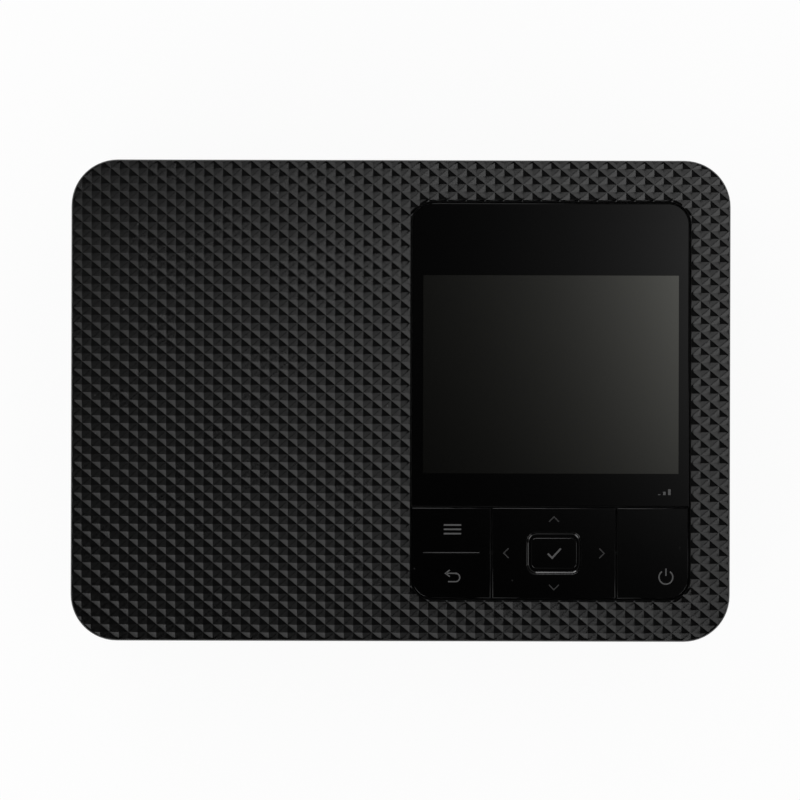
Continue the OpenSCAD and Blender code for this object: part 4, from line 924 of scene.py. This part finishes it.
def makePad():
    piece = mergedCopy("dpad_key")
    low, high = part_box("dpad_key")
    middle = ((low.x + high.x) / 2, (low.y + high.y) / 2)
    core, corner, floor = pad["core"], pad["round"], pad["floor"]
    shape = openShape(piece)

    def outward(vert):
        return [max(abs(vert.co[k] - middle[k]) - core[k], 0.0) for k in (0, 1)]

    def onWall(vert):
        return (vert.co.z > high.z - floor - near
                and abs(math.hypot(*outward(vert)) - corner) < slack)

    wall = [edge for edge in shape.edges if all(onWall(v) for v in edge.verts)
            and abs(edge.verts[0].co.z - edge.verts[1].co.z) > floor / 2]
    profile = pad["profile"]
    bmesh.ops.subdivide_edges(shape, edges=wall, cuts=len(profile) - 1, use_grid_fill=True)
    # the upright wall of the recess becomes a rounded slope
    for vert in [v for v in shape.verts if onWall(v)]:
        index = round((high.z - vert.co.z) / floor * len(profile))
        inward, down = pad["inner"], floor
        if index < len(profile):
            inward, down = (value * mm for value in profile[index])
        over = outward(vert)
        for k in (0, 1):
            if over[k] > 0:
                sign = 1 if vert.co[k] > middle[k] else -1
                reach = (pad["ringHalf"][k] - core[k] - inward) * over[k] / corner
                vert.co[k] = middle[k] + sign * (core[k] + reach)
        vert.co.z = high.z - down
    roundTop(shape, keyShape["top"], keyShape["edge"])
    closeShape(shape, piece)
    finishKey(piece, "dpad_key")
    least, most = pad["slope"]

    def onRim(spot, normal):
        return (all(abs(spot[k] * mm - middle[k]) < pad["ringHalf"][k] + 5 * near for k in (0, 1))
                and spot.z > (high.z - floor) / mm and least < normal.z < most)

    paintFaces(piece, finish["trim"], onRim)
    print("pad made, wall edges:", len(wall))


makePad()


# Window over the display

window = {
    "picture": (6.1 * mm, 76.9 * mm, -20.15 * mm, 34.8 * mm),   # left, right, front, back
    "border": 0.15 * mm,        # width over which the picture area begins
    "edge": 0.2 * mm,
    "black": gray(0.0006),
    "display": (0.185, 0.185, 0.17, 1),
    "roughness": 0.04,
}


def windowMaterial():
    # polished black, with the picture area showing a shade lighter behind it
    material, tree, shader = newMaterial("smokedWindow")
    spot = axesOf(tree, objectCoords(tree))
    x0, x1, y0, y1 = window["picture"]
    border = window["border"]
    inside = 1.0
    for axis, low, high in (("X", x0, x1), ("Y", y0, y1)):
        for start, end in ((low, low + border), (high, high - border)):
            inside = times(tree, inside, ramp(tree, spot[axis], start, end))
    texture = addGroup(tree, grainGroup, Scale=90.0, Roughness=window["roughness"], Spread=0.02)
    rough = times(tree, inside, window["roughness"])
    # the shine changes before the colour does, so that no pale line shows at the border
    feed(shader, Metallic=ramp(tree, inside, 0.0, 0.4),
         Base_Color=mixColor(tree, ramp(tree, inside, 0.4, 1.0), window["black"],
                             window["display"]),
         Roughness=calculate(tree, "ADD", texture["Roughness"], rough))
    addBump(tree, shader, texture["Height"], 0.02, 0.02 * mm)
    return material


plainPiece("display_window", windowMaterial(), window["edge"])
print("window made")


# Printed marks, in millimetres

printed = {"thick": 0.03 * mm, "top": keyShape["top"],
           "clear": mouldedPlastic("printedMark", gray(0.075), roughness=0.4, bump=0.02),
           "faint": mouldedPlastic("faintMark", gray(0.03), roughness=0.35, bump=0.02)}
mark = {
    "menu": {"place": (14.4, -35.5), "half": 2.4, "gap": 1.2, "line": 0.44},
    "return": {"place": (14.4, -48.5), "line": 0.34, "bend": 1.15},
    "power": {"place": (73.4, -48.4), "radius": 1.9, "line": 0.36},
    "confirm": {"place": (42.45, -42.05), "line": 0.5},
    "pad": {"reach": (13.2, 9.4), "width": 2.7, "height": 1.35, "line": 0.32},
    "signal": {"place": (72.9, -24.7), "gap": 1.4, "line": 0.7},
}


def printMark(name, strokes, body, material=printed["clear"]):
    # each stroke is a closed outline, drawn as a thin raised print
    shape = bmesh.new()
    for outline in strokes:
        addPrism(shape, [(x * mm, y * mm) for x, y in outline], printed["top"],
                 printed["top"] + printed["thick"])
    bmesh.ops.recalc_face_normals(shape, faces=shape.faces)
    made = shapeObject(name, shape)
    dress(made, material)
    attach(made, body)


def lineStroke(a, b, width):
    along = Vector((b[0] - a[0], b[1] - a[1])).normalized()
    side = Vector((-along.y, along.x)) * width / 2
    return [(a[0] - side.x, a[1] - side.y), (b[0] - side.x, b[1] - side.y),
            (b[0] + side.x, b[1] + side.y), (a[0] + side.x, a[1] + side.y)]


def pathStroke(points, width):
    # an open line of even width as one outline, with its corners mitred
    left, right = [], []
    for k, point in enumerate(points):
        spot = Vector(point)
        before = (spot - Vector(points[k - 1])).normalized() if k else None
        after = (Vector(points[k + 1]) - spot).normalized() if k < len(points) - 1 else None
        first, second = before or after, after or before
        tangent = (first + second).normalized()
        normal = Vector((-tangent.y, tangent.x))
        reach = width / 2 / max(0.5, normal.dot(Vector((-first.y, first.x))))
        left.append((point[0] + normal.x * reach, point[1] + normal.y * reach))
        right.append((point[0] - normal.x * reach, point[1] - normal.y * reach))
    return right + left[::-1]


def arcPoints(cx, cy, radius, start, end, steps):
    angles = [math.radians(start + (end - start) * k / steps) for k in range(steps + 1)]
    return [(cx + radius * math.cos(angle), cy + radius * math.sin(angle)) for angle in angles]


def chevron(cx, cy, turn):
    x, y = mark["pad"]["width"] / 2, mark["pad"]["height"] / 2
    c, s = math.cos(math.radians(turn)), math.sin(math.radians(turn))
    return pathStroke([(cx + x * c - y * s, cy + x * s + y * c)
                       for x, y in ((-x, -y), (0, y), (x, -y))], mark["pad"]["line"])


def menuStrokes(x, y, half, gap, line):
    return [lineStroke((x - half, y + d), (x + half, y + d), line) for d in (-gap, 0, gap)]


def returnStrokes(x, y, line, bend):
    upper = y + 0.85
    tail = [(x - 1.2, upper - 2 * bend)]
    loop = arcPoints(x + 0.9, upper - bend, bend, 90, -90, 12)
    return [pathStroke([(x - 1.7, upper), (x + 0.9, upper)] + loop + tail, line),
            pathStroke([(x - 0.7, upper + 0.9), (x - 1.9, upper), (x - 0.7, upper - 0.9)], line)]


def powerStrokes(x, y, radius, line):
    return [pathStroke(arcPoints(x, y - 0.2, radius, 125, 415, 40), line),
            lineStroke((x, y + 0.2), (x, y + 2.2), line)]


def confirmStrokes(x, y, line):
    return [pathStroke([(x - 1.7, y - 0.1), (x - 0.5, y - 1.3), (x + 1.9, y + 1.3)], line)]


def signalStrokes(x, y, gap, line):
    return [lineStroke((x + gap * k, y - 1.2), (x + gap * k, y - 0.3 + 0.7 * k), line)
            for k in (-1, 0, 1)]


def makeMarks():
    for name, body, strokes in (("menu", "menu_back_key", menuStrokes),
                                ("return", "menu_back_key", returnStrokes),
                                ("power", "power_key", powerStrokes),
                                ("confirm", "ok_key", confirmStrokes),
                                ("signal", "printer", signalStrokes)):
        shape = dict(mark[name])
        place = shape.pop("place")
        printMark(name + "Mark", strokes(*place, **shape), body)
    x, y = mark["confirm"]["place"]
    across, along = mark["pad"]["reach"]
    printMark("padMarks", [chevron(x + across, y, -90), chevron(x - across, y, 90),
                           chevron(x, y + along, 0), chevron(x, y - along, 180)],
              "dpad_key", printed["faint"])


makeMarks()
print("marks made")


# Studio, in metres and watts

studio = {
    "lens": 150.0,
    "sensor": 36.0,
    "frameWidth": 220.9 * mm,   # what the picture spans at the height of the top
    "topZ": 57.6 * mm,
    "aim": (-0.17 * mm, 0.18 * mm),
    "turn": 0.14,               # degrees about the line of sight
    "floorSize": 6.0,
    "floorZ": -0.3 * mm,
    "floorColor": gray(0.85),
    "floorGlow": 0.93,          # share of it that the camera and mirrors see as plain white
    "worldLevel": 0.8,          # what dull surfaces see
    "zenithLevel": 0.0,         # what shiny surfaces see overhead
    "horizonLevel": 0.35,       # and low down, all round
    "horizon": (0.12, 0.5),     # upward part of a direction between the two
    "lampTarget": (0, 0, 0.05),
    "lampSize": 0.5,
}
lamps = {
    "leftFront": {"place": (-0.52, -0.7, 0.62), "power": 1.25},
    "leftBack": {"place": (-0.38, 0.9, 0.62), "power": 1.75},
    "rightFront": {"place": (0.82, -0.62, 0.62), "power": 1.0},
}
overhead = {        # the card that the flat window and keys mirror
    "place": (0.12, 0.0, 1.5),
    "size": 0.8,
    "middle": 0.067,            # where its level is 1, left to right
    "peak": 0.1,                # where it stops growing
    "growth": 14.5,             # per metre, as an exponent
    "along": (-0.13, 0.1),      # from front to back
    "front": 0.08,              # share of the light at its front
    "fade": (0.12, 0.22),
    "level": 0.35,
}
upright = {         # the cards far behind, beside and in front, which catch the rims of the keys
    "width": 0.14,
    "height": 1.2,
    "backCard": {"place": (0.042, 0.76, 0.75), "facing": 180, "level": 1.6},
    "rightCard": {"place": (0.8, -0.042, 0.75), "facing": 90, "level": 0.6},
    "frontCard": {"place": (0.042, -0.86, 0.75), "facing": 0, "level": 0.15},
}


def makeFloor():
    bpy.ops.mesh.primitive_plane_add(size=studio["floorSize"], location=(0, 0, studio["floorZ"]))
    floor = bpy.context.object
    floor.name = "paleFloor"
    material, tree, shader = newMaterial("paleFloor")
    feed(shader, Base_Color=studio["floorColor"], Roughness=0.9, Specular_IOR_Level=0.1)
    glow = feed(node(tree, "ShaderNodeEmission"), Color=gray(1.0), Strength=1.0)
    path = node(tree, "ShaderNodeLightPath").outputs
    mirrored = calculate(tree, "MAXIMUM", path["Is Glossy Ray"], path["Is Transmission Ray"])
    seen = calculate(tree, "MAXIMUM", path["Is Camera Ray"], mirrored)
    share = times(tree, seen, studio["floorGlow"])
    feed(next(n for n in tree.nodes if n.type == "OUTPUT_MATERIAL"),
         Surface=mixShader(tree, share, shader.outputs[0], glow.outputs[0]))
    floor.data.materials.append(material)


def makeWorld():
    world = bpy.data.worlds.new("studio")
    scene.world = world
    world.use_nodes = True
    tree = world.node_tree
    tree.nodes.clear()
    path = node(tree, "ShaderNodeLightPath").outputs
    upward = axesOf(tree, node(tree, "ShaderNodeTexCoord").outputs["Generated"])["Z"]
    low, high = studio["horizon"]
    glossy = ramp(tree, upward, low, high, studio["horizonLevel"], studio["zenithLevel"])
    dull, mirrored, white = (
        feed(node(tree, "ShaderNodeBackground"), Color=gray(1.0), Strength=strength).outputs[0]
        for strength in (studio["worldLevel"], glossy, 1.0))
    inside = mixShader(tree, path["Is Glossy Ray"], dull, mirrored)
    seen = calculate(tree, "MAXIMUM", path["Is Camera Ray"], path["Is Transmission Ray"])
    feed(node(tree, "ShaderNodeOutputWorld"), Surface=mixShader(tree, seen, inside, white))


def makeLamp(name, place, power):
    lamp = bpy.data.lights.new(name, "AREA")
    lamp.shape = "RECTANGLE"
    lamp.size = lamp.size_y = studio["lampSize"]
    lamp.energy = power
    made = newObject(name, lamp)
    made.location = place
    sight = Vector(studio["lampTarget"]) - Vector(place)
    made.rotation_euler = sight.to_track_quat("-Z", "Y").to_euler()


def makeCard(name, size, place, turn, paint):
    # a card that only shiny surfaces see
    bpy.ops.mesh.primitive_plane_add(size=1.0, location=place, rotation=turn)
    card = bpy.context.object
    card.name = name
    for corner in card.data.vertices:
        corner.co.x *= size[0]
        corner.co.y *= size[1]
    material = bpy.data.materials.new(name)
    material.use_nodes = True
    tree = material.node_tree
    tree.nodes.clear()
    strength = paint(tree, axesOf(tree, objectCoords(tree)))
    glow = feed(node(tree, "ShaderNodeEmission"), Strength=strength)
    feed(node(tree, "ShaderNodeOutputMaterial"), Surface=glow.outputs[0])
    card.data.materials.append(material)
    card.visible_diffuse = False
    card.visible_shadow = False
    card.visible_camera = False


def paintOverhead(tree, spot):
    # brighter to the right and to the back, and dark again beyond
    across = calculate(tree, "MINIMUM", spot["X"], overhead["peak"])
    offset = calculate(tree, "SUBTRACT", across, overhead["middle"])
    rise = times(tree, offset, overhead["growth"])
    along = ramp(tree, spot["Y"], *overhead["along"], overhead["front"], 1.0, smooth=False)
    level = times(tree, calculate(tree, "EXPONENT", rise), along)
    fade = ramp(tree, spot["X"], *overhead["fade"], overhead["level"], 0.0)
    return times(tree, level, fade)


def evenPaint(level):
    def paint(tree, spot):
        # fades out at its sides
        half = upright["width"] / 2
        side = calculate(tree, "ABSOLUTE", spot["X"])
        return ramp(tree, side, half / 2, half, level, 0.0)
    return paint


def makeCards():
    makeCard("gradedCard", (overhead["size"], overhead["size"]), overhead["place"], (0, 0, 0),
             paintOverhead)
    for name in ("backCard", "rightCard", "frontCard"):
        card = upright[name]
        turn = (math.radians(-90), 0, math.radians(card["facing"]))
        makeCard(name, (upright["width"], upright["height"]), card["place"], turn,
                 evenPaint(card["level"]))


def makeCamera():
    data = bpy.data.cameras.new("photoCamera")
    data.lens = studio["lens"]
    data.sensor_width = studio["sensor"]
    data.clip_start, data.clip_end = 0.01, 20.0
    camera = newObject("photoCamera", data)
    distance = studio["frameWidth"] * studio["lens"] / studio["sensor"]
    camera.location = (*studio["aim"], studio["topZ"] + distance)
    camera.rotation_euler = (0.0, 0.0, math.radians(studio["turn"]))
    scene.camera = camera


makeFloor()
makeWorld()
for name, lamp in lamps.items():
    makeLamp(name, **lamp)
makeCards()
makeCamera()
scene.view_settings.view_transform = "Standard"
print("studio made")
